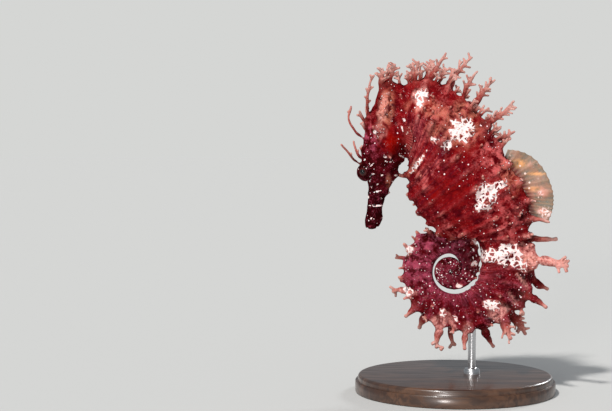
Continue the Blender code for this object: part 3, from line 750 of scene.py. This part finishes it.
def skinMarkings(obj):
    mesh = obj.data
    points = readNumbers(mesh.vertices, "co") / mm
    ring, around, stem, lid = (readValues(mesh, name) for name in ("ring", "around", "stem", "lid"))
    rest, wander = points - np.array(body["coil"]), noiseAt(points, markings["wander"], 7.0)
    values = {name: spotsOn(rest, ring, wander, name) for name in markings["spots"]}
    for name in markings["bodyOnly"]:
        values[name] *= 1 - 0.85 * smoothStep(0.2, 0.6, stem)
    values["dark"] = np.maximum(values["dark"], markings["lidShade"] * lid)
    values["maroon"] = np.interp(ring, *zip(*markings["maroon"]))
    back = smoothStep(2.5, 4.5, ring) * (1 - smoothStep(10, 12, ring)) * (1 - smoothStep(0.35, 0.6, around))
    values["dots"] = np.maximum(np.interp(ring, *zip(*markings["dots"])), 0.9 * back)
    for name, value in values.items():
        writeValues(mesh, name, value)


def feed(made, links):
    # gives a node's inputs, by name or number, a socket each or a plain value each
    for key, value in links.items():
        socket = made.inputs[key]
        if isinstance(value, bpy.types.NodeSocket):
            made.id_data.links.new(value, socket)
        else:
            socket.default_value = (*value, 1.0) if socket.type == "RGBA" else value


def node(tree, kind, links, **settings):
    made = tree.nodes.new("ShaderNode" + kind)
    for key, value in settings.items():
        setattr(made, key, value)
    feed(made, links)
    return made


def joined(operation, values, clamp=False):
    # puts values through one maths node after another; one of the first two is a socket
    made, *others = values
    for value in others:
        tree = (made if isinstance(made, bpy.types.NodeSocket) else value).id_data
        made = node(tree, "Math", {0: made, 1: value}, operation=operation, use_clamp=clamp).outputs[0]
    return made


def times(*values):
    return joined("MULTIPLY", values)


def plus(*values):
    return joined("ADD", values)


def less(*values, clamp=False):
    return joined("SUBTRACT", values, clamp)


def largest(*values):
    return joined("MAXIMUM", values)


def mixColour(factor, a, b):
    links = {0: factor, 6: a, 7: b}
    return node(factor.id_data, "Mix", links, data_type="RGBA").outputs[2]


def ramped(value, low, high, first=0.0, last=1.0):
    links = {"Value": value, "From Min": low, "From Max": high, "To Min": first, "To Max": last}
    return node(value.id_data, "MapRange", links, interpolation_type="SMOOTHSTEP").outputs["Result"]


def noiseOf(place, scale, detail=3.0, roughness=0.55, distortion=0.0):
    names = ("Vector", "Scale", "Detail", "Roughness", "Distortion")
    links = dict(zip(names, (place, scale, detail, roughness, distortion)))
    return node(place.id_data, "TexNoise", links).outputs["Fac"]


def masked(values, factors):
    # named values multiplied, each as it is or ramped where its name comes with the ends of a ramp
    return times(*(values[f] if isinstance(f, str) else ramped(values[f[0]], *f[1:]) for f in factors))


def summed(values, weights):
    return plus(*(times(values[name], weight) for name, weight in weights.items()))


def layered(colour, values, tints, layers):
    # lays one tint after another over a colour, each through its mask
    for tint, *factors in layers:
        colour = mixColour(masked(values, factors), colour, tints[tint])
    return colour


def speckGroup():
    # small round specks, where Amount is the share of the specks that show
    tree = bpy.data.node_groups.new("specks", "ShaderNodeTree")
    tree.interface.new_socket("Vector", in_out="INPUT", socket_type="NodeSocketVector")
    for name, value in (("Spacing", 800.0), ("Size", 0.22), ("Amount", 0.5)):
        tree.interface.new_socket(name, in_out="INPUT", socket_type="NodeSocketFloat").default_value = value
    tree.interface.new_socket("Mask", in_out="OUTPUT", socket_type="NodeSocketFloat")
    start, end = tree.nodes.new("NodeGroupInput").outputs, tree.nodes.new("NodeGroupOutput")
    cells = node(tree, "TexVoronoi", {"Vector": start["Vector"], "Scale": start["Spacing"]}).outputs
    parts = node(tree, "SeparateColor", {"Color": cells["Color"]}).outputs
    ragged = times(less(noiseOf(start["Vector"], 900.0, 2.0), 0.5), 0.12)
    size = times(start["Size"], ramped(parts["Green"], 0, 1, 0.55, 1.15))
    share = joined("DIVIDE", (plus(cells["Distance"], ragged), size))
    shown = joined("LESS_THAN", (parts["Red"], start["Amount"]))
    feed(end, {"Mask": times(ramped(less(1.0, share, clamp=True), 0.0, 0.35), shown)})
    return tree


speckTree = speckGroup()


def specks(place, spacing, size, amount):
    links = {"Vector": place, "Spacing": spacing, "Size": size, "Amount": amount}
    return node(place.id_data, "Group", links, node_tree=speckTree).outputs["Mask"]


def newMaterial(name, finish):
    # finish holds the shader's plain values
    material = bpy.data.materials.new(name)
    material.use_nodes = True
    shader = material.node_tree.nodes["Principled BSDF"]
    feed(shader, finish)
    return material, shader


def objectPlace(shader):
    return node(shader.id_data, "TexCoord", {}).outputs["Object"]


def attributes(shader, names):
    return {name: node(shader.id_data, "Attribute", {}, attribute_name=name).outputs["Fac"] for name in names}


def bumped(shader, height, strength, distance):
    bump = node(shader.id_data, "Bump", {"Height": height, "Strength": strength, "Distance": distance})
    feed(shader, {"Normal": bump.outputs["Normal"]})


skinLook = {
    "tints": {
        "deep": (0.066, 0.0009, 0.003), "crimson": (0.225, 0.0045, 0.0065), "glow": (0.2, 0.002, 0.0006),
        "hot": (0.23, 0.0025, 0.0007), "maroon": (0.036, 0.0013, 0.0022), "wine": (0.1, 0.0025, 0.006),
        "rose": (0.58, 0.115, 0.115), "plum": (0.44, 0.08, 0.14), "blush": (0.72, 0.32, 0.28),
        # the crease tint on the next line is painted shade; the dark tint paints the skin's own dark patches
        # and also the painted shade under the gill cover
        "dark": (0.012, 0.0006, 0.0008), "tan": (0.56, 0.19, 0.12), "fold": (0.1, 0.004, 0.012),
        # knob: pink of the tubercles, partly their tips and partly a painted highlight, and of the rims round
        # the pale patches
        "knob": (0.62, 0.19, 0.17), "salmon": (0.43, 0.13, 0.105), "tip": (0.6, 0.34, 0.295),
        "pale": (0.95, 0.76, 0.74), "speck": (1, 0.78, 0.78),
    },
    # patterns in space: scale, detail, roughness, distortion
    "patterns": {
        "broad": (170, 4, 0.62, 0.5),
        "middle": (520, 4, 0.65, 0.3),
        "fine": (1500, 3, 0.6),
        "grains": (2400, 2, 0.7),
    },
    # patterns that follow the body: stretch along it and round it, then the same
    "bodyPatterns": {"streaks": (2.4, 4, 1, 4, 0.6, 1), "striae": (9, 3, 1, 2, 0.5, 0.3)},
    "mottle": {"broad": 0.385, "streaks": 0.315, "middle": 0.3},
    # masks: named values that are multiplied, each as it is or with the ends of a ramp and its two values
    "belly": (("around", 0.5, 0.85, 0, 0.75),),
    "plums": ("plum", ("middle", 0.42, 0.62)),
    "stripes": ("belly", ("ring", 10, 13), ("striae", 0.42, 0.6)),
    # painted shade: darker streaks in the creases along the striae, from the nape on, weaker past ring 3,
    # away from the back
    "creaseShading": (
        ("striae", 0.47, 0.6, 0, 0.8), ("ring", -0.6, 0.6), ("ring", 3, 6.5, 1, 0.35), ("around", 0.3, 0.5),
    ),
    "red": (("glow", 0, 0.8, 1, 0.3),),
    "marks": ("mark", ("fine", 0.38, 0.54)),
    "shown": (("stem", 0.1, 0.5, 1, 0.3),),
    # layers of colour from the bottom up: tint, then its mask
    "layers": (
        ("glow", "glow", ("mottle", 0.38, 0.6)),
        ("snout", "maroon", "dull"),
        ("pink", "flushed"),
        # dark patches of the skin, with the painted shade under the gill cover
        ("dark", "dark", ("middle", 0.3, 0.66, 1, 0.72)),
        ("hot", "hot", ("middle", 0.3, 0.6, 0.4, 1)),
        ("tan", "tan", ("middle", 0.36, 0.6)),
        # painted shade in the chest's creases
        ("fold", "creaseShading"),
        # painted highlight: pink along the ring crests
        ("pink", "crest", ("fine", 0.4, 0.62), ("around", 0.3, 0.6, 0.4, 0.15), "red"),
        # pink on the tubercles: partly their pale tips, partly a painted highlight
        ("knob", ("knob", 0.35, 0.95), ("middle", 0.35, 0.6, 0, 0.5), "red", ("ring", 9, 13, 1, 0.3)),
        ("pink", ("grains", 0.52, 0.66), ("middle", 0.4, 0.62, 0, 0.45), "red", ("ring", 26, 32, 1, 0.4)),
        ("salmon", ("stem", 0.1, 0.6)),
        ("crimson", ("stem", 0.1, 0.3), ("fine", 0.35, 0.5, 0.6, 0)),
        ("tip", ("stem", 0.4, 0.95), ("middle", 0.35, 0.65, 0.45, 1)),
        ("blush", "blush", ("middle", 0.36, 0.58, 0.2, 1), ("fine", 0.36, 0.56, 0.3, 1)),
        ("knob", ("pale", 0, 0.4), ("middle", 0.38, 0.58, 0.1, 0.7), ("pale", 0.5, 0.9, 1, 0.2)),
        ("pale", "nets"),
        ("speck", "specks"),
    ),
    "net": {"scale": 700, "drift": 0.0014, "width": ("pale", ("middle", 0.35, 0.65, 0.17, 0.3))},
    "specks": ((1050, 0.2), (620, 0.155)),  # spacing and size
    "speckShare": 0.6,
    "innerSpecks": (1.5, 11, 0.27),  # rows on the last turns: how many along and round the body, size
    "height": {"middle": 1.1, "streaks": 0.3, "fine": 0.3, "specks": 0.4, "nets": 0.35, "grooves": 0.5},
    "bump": (0.9, 0.0007),  # strength and depth
    "finish": {
        "Subsurface Weight": 0.15,
        "Subsurface Radius": (1, 0.2, 0.15),
        "Subsurface Scale": 0.0008,
        "Specular IOR Level": 0,
        "Coat Weight": 0.03,
        "Coat Roughness": 0.12,
    },
}


def onBody(at, along, around):
    # places for a pattern that follows the body
    links = {"X": times(at["ring"], along), "Y": times(at["around"], around)}
    return node(at["ring"].id_data, "CombineXYZ", links).outputs["Vector"]


def paleNet(place, at):
    # winding lines between cells, wide where the pale marking is strong, and the single marks
    net, tree = skinLook["net"], place.id_data
    drift = node(tree, "TexNoise", {"Vector": place, "Scale": net["scale"], "Detail": 2.0}).outputs["Color"]
    scaled = node(tree, "VectorMath", {0: drift, "Scale": net["drift"]}, operation="SCALE").outputs["Vector"]
    wavy = node(tree, "VectorMath", {0: place, 1: scaled}, operation="ADD").outputs["Vector"]
    cells = node(tree, "TexVoronoi", {"Vector": wavy, "Scale": net["scale"]}, feature="DISTANCE_TO_EDGE")
    inside = less(masked(at, net["width"]), cells.outputs["Distance"])
    lines = times(ramped(inside, -0.03, 0.07), ramped(at["pale"], 0.12, 0.35))
    return largest(lines, ramped(masked(at, skinLook["marks"]), 0.15, 0.4))


def skinMaterial():
    look = skinLook
    material, shader = newMaterial("seahorseSkin", look["finish"])
    place, tints = objectPlace(shader), dict(look["tints"])
    at = attributes(shader, ("ring", "around", "stem", "knob", "crest", "maroon", "dots", *markings["spots"]))
    at.update({name: noiseOf(place, *row) for name, row in look["patterns"].items()})
    for name, (along, around, *row) in look["bodyPatterns"].items():
        at[name] = noiseOf(onBody(at, along, around), *row)
    at["mottle"] = summed(at, look["mottle"])
    for name in ("belly", "red", "shown", "creaseShading"):
        at[name] = masked(at, look[name])
    at["dull"] = less(1.0, at["glow"])
    at["grooves"] = times(at["striae"], at["belly"])
    at["flushed"] = largest(masked(at, look["plums"]), masked(at, look["stripes"]))
    at["nets"] = paleNet(place, at)
    amount = times(at["dots"], look["speckShare"])
    along, around, size = look["innerSpecks"]
    inner = specks(onBody(at, along, around), 1.0, size, ramped(at["ring"], 27.0, 34.0, 0.0, 0.9))
    outer = (specks(place, *row, amount) for row in look["specks"])
    at["specks"] = times(largest(*outer, inner), at["shown"])
    tints["snout"] = mixColour(ramped(at["middle"], 0.4, 0.66), tints["maroon"], tints["wine"])
    tints["pink"] = mixColour(ramped(at["maroon"], 0.3, 0.7), tints["rose"], tints["plum"])
    colour = mixColour(ramped(at["mottle"], 0.4, 0.58), tints["deep"], tints["crimson"])
    colour = layered(colour, at, tints, look["layers"])
    feed(shader, {"Base Color": colour, "Roughness": ramped(at["fine"], 0.25, 0.75, 0.35, 0.6)})
    bumped(shader, summed(at, look["height"]), *look["bump"])
    return material


def addSkin():
    cage = skinCage()
    print("skin cage:", len(cage.faces), "faces")
    obj = newObject("skin", cage)
    subdivide(obj, 1)
    skinRelief(obj)
    skinMarkings(obj)
    obj.data.materials.append(skinMaterial())
    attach(obj, "root")
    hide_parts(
        "snout", "head", "neck", "trunk_upper", "trunk_lower",
        "tail_base", "tail_outer", "tail_front", "tail_inner", "tail_tip",
    )
    print("skin:", len(obj.data.polygons), "faces")


addSkin()


eyeLook = {
    "iris": ((0.02, 0.0008, 0.0008), (0.07, 0.003, 0.0025)),
    "pupilColour": (0.001, 0.001, 0.001),
    "pupil": 0.4,  # half angle, in radians
    "rays": 2600,
    "cornea": (0.5, 0.16),  # its share of the ball's radius, and how far it stands out
    "segments": (48, 32),
    "finish": {"Roughness": 0.3, "Specular IOR Level": 0.1, "Coat Weight": 0.6, "Coat Roughness": 0.03},
}


def eyeMaterial():
    material, shader = newMaterial("eyeBall", eyeLook["finish"])
    gaze, rays = attributes(shader, ("gaze",))["gaze"], noiseOf(objectPlace(shader), eyeLook["rays"])
    colour = mixColour(ramped(rays, 0.35, 0.65), *eyeLook["iris"])
    edge = ramped(gaze, eyeLook["pupil"] - 0.03, eyeLook["pupil"] + 0.03, 1.0, 0.0)
    feed(shader, {"Base Color": mixColour(edge, colour, eyeLook["pupilColour"])})
    return material


def addEyes():
    material, radius = eyeMaterial(), eye["radius"]
    wide, high = eyeLook["cornea"]
    columns, rows = eyeLook["segments"]
    for name, side in sides.items():
        flip = Vector((1, side, 1))
        bm = bmesh.new()
        bmesh.ops.create_uvsphere(bm, u_segments=columns, v_segments=rows, radius=radius)
        layer = bm.verts.layers.float.new("gaze")
        for vert in bm.verts:
            across = math.hypot(vert.co.x, vert.co.y) / radius
            vert[layer] = math.atan2(across, vert.co.z / radius)
            if vert.co.z > 0 and across < wide:
                vert.co.z += high * (1 - (across / wide) ** 2)
        turn = (eye["gaze"] * flip).to_track_quat("Z", "Y").to_matrix().to_4x4()
        centre = Matrix.Translation(body["coil"] + eye["centre"] * flip)
        bmesh.ops.transform(bm, verts=bm.verts, matrix=centre @ turn)
        obj = newObject("eye" + name.capitalize(), bm, material)
        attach(obj, "root")
        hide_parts("eye_" + name)
    print("eyes: 2")


addEyes()


fin = {
    "thickness": 0.1,
    "relief": 0.09,  # how far a ray stands out on each side
    "perRay": 4,  # columns of faces to a ray
    "notch": 0.02,  # how far the margin falls in between two rays, as a share of their length
    "dorsalRings": (5.75, 8.95),
    # share of the base, ray length, ray direction
    "dorsalRays": ((0, 2.6, 76), (0.25, 6.9, 37), (0.5, 7.9, 5), (0.75, 6.9, -8), (1, 5.3, -16)),
    "dorsalCount": 19,
    "dorsalRise": 0.2,  # how far over the back the rays are measured from, and how deep they are rooted
    "dorsalRoot": 0.5,
    "pectoralRing": -0.1,
    "pectoralLength": 3,
    "pectoralSpread": 34,
    "pectoralCount": 11,
    "pectoralBase": (0.44, 0.2),  # share of the way from belly to back, at the first ray and at the last
    "pectoralRise": 0.2,
    "pectoralTurn": -22,  # direction of the middle ray and its lean to its own side, degrees
    "pectoralLean": 32,
    "analRings": (9.62, 10),
    "analCount": 5,
    "analRoot": 0.3,
    "analLength": 2.2,
    "analSpread": 0.28,
    # membrane where thin and where cloudy, then rays near the base and the margin
    "dorsalTints": ((0.15, 0.14, 0.1), (0.34, 0.17, 0.11), (0.36, 0.15, 0.09), (0.32, 0.21, 0.14)),
    "smallTints": ((0.2, 0.01, 0.01), (0.3, 0.02, 0.02), (0.4, 0.045, 0.04), (0.5, 0.12, 0.1)),
    # on the dorsal fin: x and z from the coil's centre, half sizes
    "patches": {
        "orange": ((23.4, 27.6, 3.6, 0.55), (18.5, 30.5, 3.4, 1.6), (22.5, 23.4, 3, 1)),
        "pink": ((24.2, 22.6, 3, 2.8), (25.4, 16.8, 2.8, 2.8), (22, 31, 2.6, 1.6)),
        "white": ((25.8, 16.8, 2.4, 2.2), (24.6, 22.2, 1, 0.9)),
    },
    "patterns": {"cloud": (330, 4, 0.6), "height": (1800, 2)},
    "specks": (800, 0.26, 0.4),
    "rayMask": ("ray", ("cloud", 0.3, 0.6, 0.9, 0.3)),
    "tints": {
        "orange": (0.75, 0.35, 0.14),
        "pink": (0.78, 0.33, 0.26),
        "white": (0.95, 0.7, 0.68),
        "root": (0.14, 0.006, 0.006),
        "speck": (0.9, 0.66, 0.58),
    },
    "layers": (
        ("orange", "orange", ("cloud", 0.3, 0.5)),
        ("pink", "pink", ("cloud", 0.38, 0.62, 0.1, 0.8)),
        ("white", "white", ("height", 0.45, 0.58)),
        ("root", ("out", 0.12, 0.42, 1, 0), "between"),
        ("speck", "specks", ("out", 0.4, 0.7, 0.9, 0.2)),
    ),
    "bump": (0.4, 0.0001),
    "finish": {"Roughness": 0.35, "Specular IOR Level": 0.3},
}


def outward(ring, line=1):
    # away from the body's middle line at its back, or with line 0 at its belly
    along = (bodyAt(ring + 0.05)[line] - bodyAt(ring - 0.05)[line]).normalized()
    away = bodyAt(ring)[line] - bodyAt(ring)[1 - line]
    return (away - along * away.dot(along)).normalized()


def finMaterial(name, tints, thin):
    material, shader = newMaterial(name, fin["finish"])
    place, at = objectPlace(shader), attributes(shader, ("out", "ray", *fin["patches"]))
    at.update({key: noiseOf(place, *row) for key, row in fin["patterns"].items()})
    at["between"] = less(1.0, times(at["ray"], 0.6))
    at["specks"] = specks(place, *fin["specks"])
    membrane = mixColour(ramped(at["cloud"], 0.35, 0.65), tints[0], tints[1])
    rays = mixColour(ramped(at["out"], 0.25, 0.8), tints[2], tints[3])
    colour = mixColour(masked(at, fin["rayMask"]), membrane, rays)
    feed(shader, {"Base Color": layered(colour, at, fin["tints"], fin["layers"])})
    base, margin = ramped(at["out"], 0.2, 0.55, 1.0, 0.0), ramped(at["out"], 0.95, 1.0, 0.0, 0.7)
    solid = largest(at["orange"], at["pink"], times(at["ray"], 0.7), base, margin)
    thickness = ramped(at["cloud"], 0.3, 0.7, thin - 0.1, thin + 0.1)
    feed(shader, {"Alpha": joined("ADD", (times(solid, 0.55), thickness), clamp=True)})
    bumped(shader, at["height"], *fin["bump"])
    return material


def addFin(name, replaced, material, count, ray, wave, steps):
    # a membrane drawn out from its base to its margin, thicker along its rays; ray gives the ends of one
    bases, tips = zip(*(ray(i / (count - 1)) for i in range(count)))
    bm, per = bmesh.new(), fin["perRay"]
    layers = {key: bm.verts.layers.float.new(key) for key in ("out", "ray", *fin["patches"])}
    places = [i / per for i in range((count - 1) * per + 1)]
    side = (tips[-1] - bases[-1]).cross(bases[0] - bases[-1]).normalized()

    def at(points, place):
        low = min(int(place), count - 2)
        return points[low].lerp(points[low + 1], place - low)

    def spotAt(place, share):
        notch = fin["notch"] * math.sin(math.pi * (place % 1)) * share * share
        sway = wave * share * (math.sin(place * 0.9) + 0.4 * math.sin(place * 2.3 + share * 3))
        return at(bases, place).lerp(at(tips, place), share * (1 - notch)) + side * sway

    row = [bm.verts.new(spotAt(place, 0)) for place in places]
    markVerts(row, layers, ray=1.0)
    edges = [bm.edges.new(pair) for pair in zip(row, row[1:])]
    for step in range(1, steps + 1):
        made = bmesh.ops.extrude_edge_only(bm, edges=edges)["geom"]
        edges = [e for e in made if isinstance(e, bmesh.types.BMEdge)]
        for v in (v for v in made if isinstance(v, bmesh.types.BMVert)):
            place = min(places, key=lambda p: (spotAt(p, (step - 1) / steps) - v.co).length_squared)
            v.co = spotAt(place, step / steps)
            markVerts([v], layers, out=step / steps, ray=(0.5 + 0.5 * math.cos(math.tau * place)) ** 1.5)
    faceOutwards(bm)
    bmesh.ops.solidify(bm, geom=bm.faces, thickness=fin["thickness"])
    faceOutwards(bm)
    bm.normal_update()
    for v in bm.verts:
        v.co += v.normal * fin["relief"] * v[layers["ray"]] * (1 - 0.6 * v[layers["out"]])
        rest = v.co - body["coil"]
        for key, spots in fin["patches"].items():
            inside = max(1 - math.hypot((rest.x - x) / rx, (rest.z - z) / rz) for x, z, rx, rz in spots)
            v[layers[key]] = min(max(inside * 1.4, 0.0), 1.0)
    obj = newObject(name, bm, material)
    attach(obj, "root")
    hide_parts(replaced)


def dorsalRay(share):
    ring = mixed(*fin["dorsalRings"], share)
    length, degrees = smoothRow(fin["dorsalRays"], share)
    base = bodyAt(ring)[1] + outward(ring) * fin["dorsalRise"]
    return base - outward(ring) * fin["dorsalRoot"], base + heading(degrees, 0) * length


def pectoralRay(share, side):
    ventral, dorsal, width = bodyAt(fin["pectoralRing"])
    base = ventral.lerp(dorsal, mixed(*fin["pectoralBase"], share))
    base.y = side * (width + fin["pectoralRise"])
    ray = heading(fin["pectoralSpread"] * (1 - 2 * share) + fin["pectoralTurn"], fin["pectoralLean"])
    ray.y *= side
    return base, base + ray * fin["pectoralLength"] * (0.8 + 0.2 * math.sin(math.pi * share))


def analRay(share):
    ring = mixed(*fin["analRings"], share)
    away = outward(ring, line=0)
    base, spread = bodyAt(ring)[0] - away * fin["analRoot"], fin["analSpread"] * (2 * share - 1)
    return base, base + (away + Vector((spread, 0, 0))).normalized() * fin["analLength"]


def addFins():
    material = finMaterial("finMembrane", fin["dorsalTints"], 0.7)
    reddish = finMaterial("smallFinMembrane", fin["smallTints"], 0.3)
    addFin("dorsalFin", "dorsal_fin", material, fin["dorsalCount"], dorsalRay, 0.25, 20)
    for name, side in sides.items():
        title, count = "pectoralFin" + name.capitalize(), fin["pectoralCount"]
        addFin(title, "pectoral_fin_" + name, reddish, count, lambda share: pectoralRay(share, side), 0.12, 8)
    addFin("analFin", "anal_fin", reddish, fin["analCount"], analRay, 0.05, 5)
    print("fins: 4")


addFins()


stand = {
    "radius": 28,
    "thickness": 5,
    "edge": 0.9,
    "rodRadius": 1.1,
    "rodInside": 2,  # how far the rod goes on into the tail
    "ferrule": (2.3, 1.6),  # radius and height of the collar at the rod's foot
    "segments": (128, 48),  # round the base and round the rod
    "grain": (60, 900, 400),
    "figure": (14, 110, 60),
    "woods": ((0.045, 0.02, 0.012), (0.115, 0.055, 0.03)),
    "grainColour": (0.02, 0.009, 0.006),
    "steels": ((0.5, 0.5, 0.51), (0.64, 0.64, 0.65)),
    "brushing": (300, 300, 9000),
}


def stretchedNoise(shader, scale, *row):
    mapping = node(shader.id_data, "Mapping", {"Vector": objectPlace(shader), "Scale": scale})
    return noiseOf(mapping.outputs["Vector"], 1.0, *row)


def woodMaterial():
    material, shader = newMaterial("darkWalnut", {"Coat Weight": 0.35, "Coat Roughness": 0.15})
    grain = stretchedNoise(shader, stand["grain"], 6.0, 0.6, 0.6)
    figure = stretchedNoise(shader, stand["figure"], 3.0, 0.5, 1.2)
    colour = mixColour(ramped(figure, 0.3, 0.7), *stand["woods"])
    colour = mixColour(ramped(grain, 0.4, 0.62, 0.0, 0.7), colour, stand["grainColour"])
    feed(shader, {"Base Color": colour, "Roughness": ramped(grain, 0.3, 0.7, 0.28, 0.42)})
    bumped(shader, grain, 0.25, 0.0001)
    return material


def steelMaterial():
    material, shader = newMaterial("brushedSteel", {"Metallic": 1.0})
    lines = stretchedNoise(shader, stand["brushing"], 2.0)
    colour = mixColour(ramped(lines, 0.3, 0.7), *stand["steels"])
    feed(shader, {"Base Color": colour, "Roughness": ramped(lines, 0.3, 0.7, 0.22, 0.38)})
    return material


def turned(name, profile, centre, segments, material, sharp):
    # spins a profile of (radius, height) points round an upright axis
    bm = bmesh.new()
    spun(bm, [bm.verts.new((r, 0, z)) for r, z in profile], (0, 0, 1), (0, 0, 0), segments)
    faceOutwards(bm)
    bmesh.ops.translate(bm, verts=bm.verts, vec=centre)
    made = newObject(name, bm, material)
    made.data.set_sharp_from_angle(angle=math.radians(sharp))
    return made


def addStand():
    r, t, e = stand["radius"], stand["thickness"], stand["edge"]
    profile = [(0, 0), (r - 0.5, 0), (r - 0.1, 0.15), (r, 0.5), (r, t - 1.9), (r - 0.12, t - 1.75)]
    profile += [(r - 0.7, t - 1.7), (r - 0.75, t - 1.5)]
    angles = np.linspace(0, math.pi / 2, 7)
    profile += [(r - 0.75 - e * (1 - math.cos(a)), t - e + e * math.sin(a)) for a in angles]
    profile += [(0, t)]
    base = turned("standBase", profile, Vector((0, 0, 0)), stand["segments"][0], woodMaterial(), 40)
    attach(base, "root")
    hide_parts("stand_base")
    low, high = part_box("stand_rod")
    foot = Vector(((low.x + high.x) / 2, (low.y + high.y) / 2, 0)) / mm
    rod, top = stand["rodRadius"], high.z / mm + stand["rodInside"]
    wide, tall = stand["ferrule"]
    profile = [(0, t), (wide, t), (wide, t + tall * 0.6), (wide - 0.4, t + tall), (rod + 0.25, t + tall)]
    profile += [(rod, t + tall + 0.2), (rod, top - 0.3), (rod - 0.3, top), (0, top)]
    post = turned("standRod", profile, foot, stand["segments"][1], steelMaterial(), 35)
    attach(post, "root")
    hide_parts("stand_rod")
    print("stand: 2")


addStand()


studio = {
    "floorSize": 12,
    "floorDrop": 0.02,  # mm under the stand, so that the two don't share a plane
    "floorColour": (0.56, 0.56, 0.55),
    "world": (0.86, 0.93, 1),
    "worldLight": 0.3,
    "worldSeen": (0.6647, 0.6715, 0.6587),  # the backdrop beyond the floor, as bright as the lit floor
    # name, direction it comes from, strength, angle, colour
    "lights": (
        ("key", (-0.3, -0.6, 0.8), 3, 0.08, (1, 0.98, 0.95)),
        ("front", (-0.2, -0.95, 0.12), 1.3, 0.2, (1, 0.97, 0.95)),
        ("rim", (0.4, 0.7, 0.4), 1.1, 0.2, (0.95, 0.98, 1)),
    ),
    "lens": 85,
    "sensor": 36,
    "clip": (0.01, 50),
    "distance": 0.4068,
    "elevation": 2.5,
    "yaw": 5.87,  # the animal stands right of the middle
    "lookHeight": 0.0523,
    "bodyCentre": -0.0003,
}


def addFloor():
    bm = bmesh.new()
    bmesh.ops.create_grid(bm, x_segments=1, y_segments=1, size=studio["floorSize"] / 2 / mm)
    bmesh.ops.translate(bm, verts=bm.verts, vec=Vector((0, 0, -studio["floorDrop"])))
    finish = {"Base Color": studio["floorColour"], "Roughness": 0.7, "Specular IOR Level": 0.0}
    floor = newObject("floor", bm, newMaterial("paleFloor", finish)[0], smooth=False)


def addLights():
    world = bpy.data.worlds.new("studioWorld")
    world.use_nodes = True
    tree = world.node_tree
    back = tree.nodes["Background"]
    feed(back, {"Color": studio["world"], "Strength": studio["worldLight"]})
    seen = node(tree, "Background", {"Color": studio["worldSeen"]})
    camera = node(tree, "LightPath", {}).outputs["Is Camera Ray"]
    pick = node(tree, "MixShader", {0: camera, 1: back.outputs[0], 2: seen.outputs[0]})
    feed(tree.nodes["World Output"], {"Surface": pick.outputs[0]})
    bpy.context.scene.world = world
    for name, source, strength, angle, colour in studio["lights"]:
        data = bpy.data.lights.new(name, "SUN")
        data.energy, data.angle, data.color = strength, angle, colour
        lamp = bpy.data.objects.new(name, data)
        lamp.location = source
        lamp.rotation_euler = (-Vector(source)).to_track_quat("-Z", "Y").to_euler()
        bpy.context.scene.collection.objects.link(lamp)


def addCamera():
    data = bpy.data.cameras.new("camera")
    data.lens, data.sensor_width = studio["lens"], studio["sensor"]
    data.clip_start, data.clip_end = studio["clip"]
    camera = bpy.data.objects.new("camera", data)
    up, yaw = math.radians(studio["elevation"]), math.radians(studio["yaw"])
    reach = studio["distance"]
    height = studio["lookHeight"] + reach * math.sin(up)
    camera.location = (studio["bodyCentre"], -reach * math.cos(up), height)
    camera.rotation_euler = (math.pi / 2 - up, 0, yaw)
    bpy.context.scene.collection.objects.link(camera)
    bpy.context.scene.camera = camera


addFloor()
addLights()
addCamera()
print("studio: floor, lights and camera")
bpy.context.scene.view_settings.view_transform = "Standard"
bpy.context.view_layer.update()
print("scene: done")
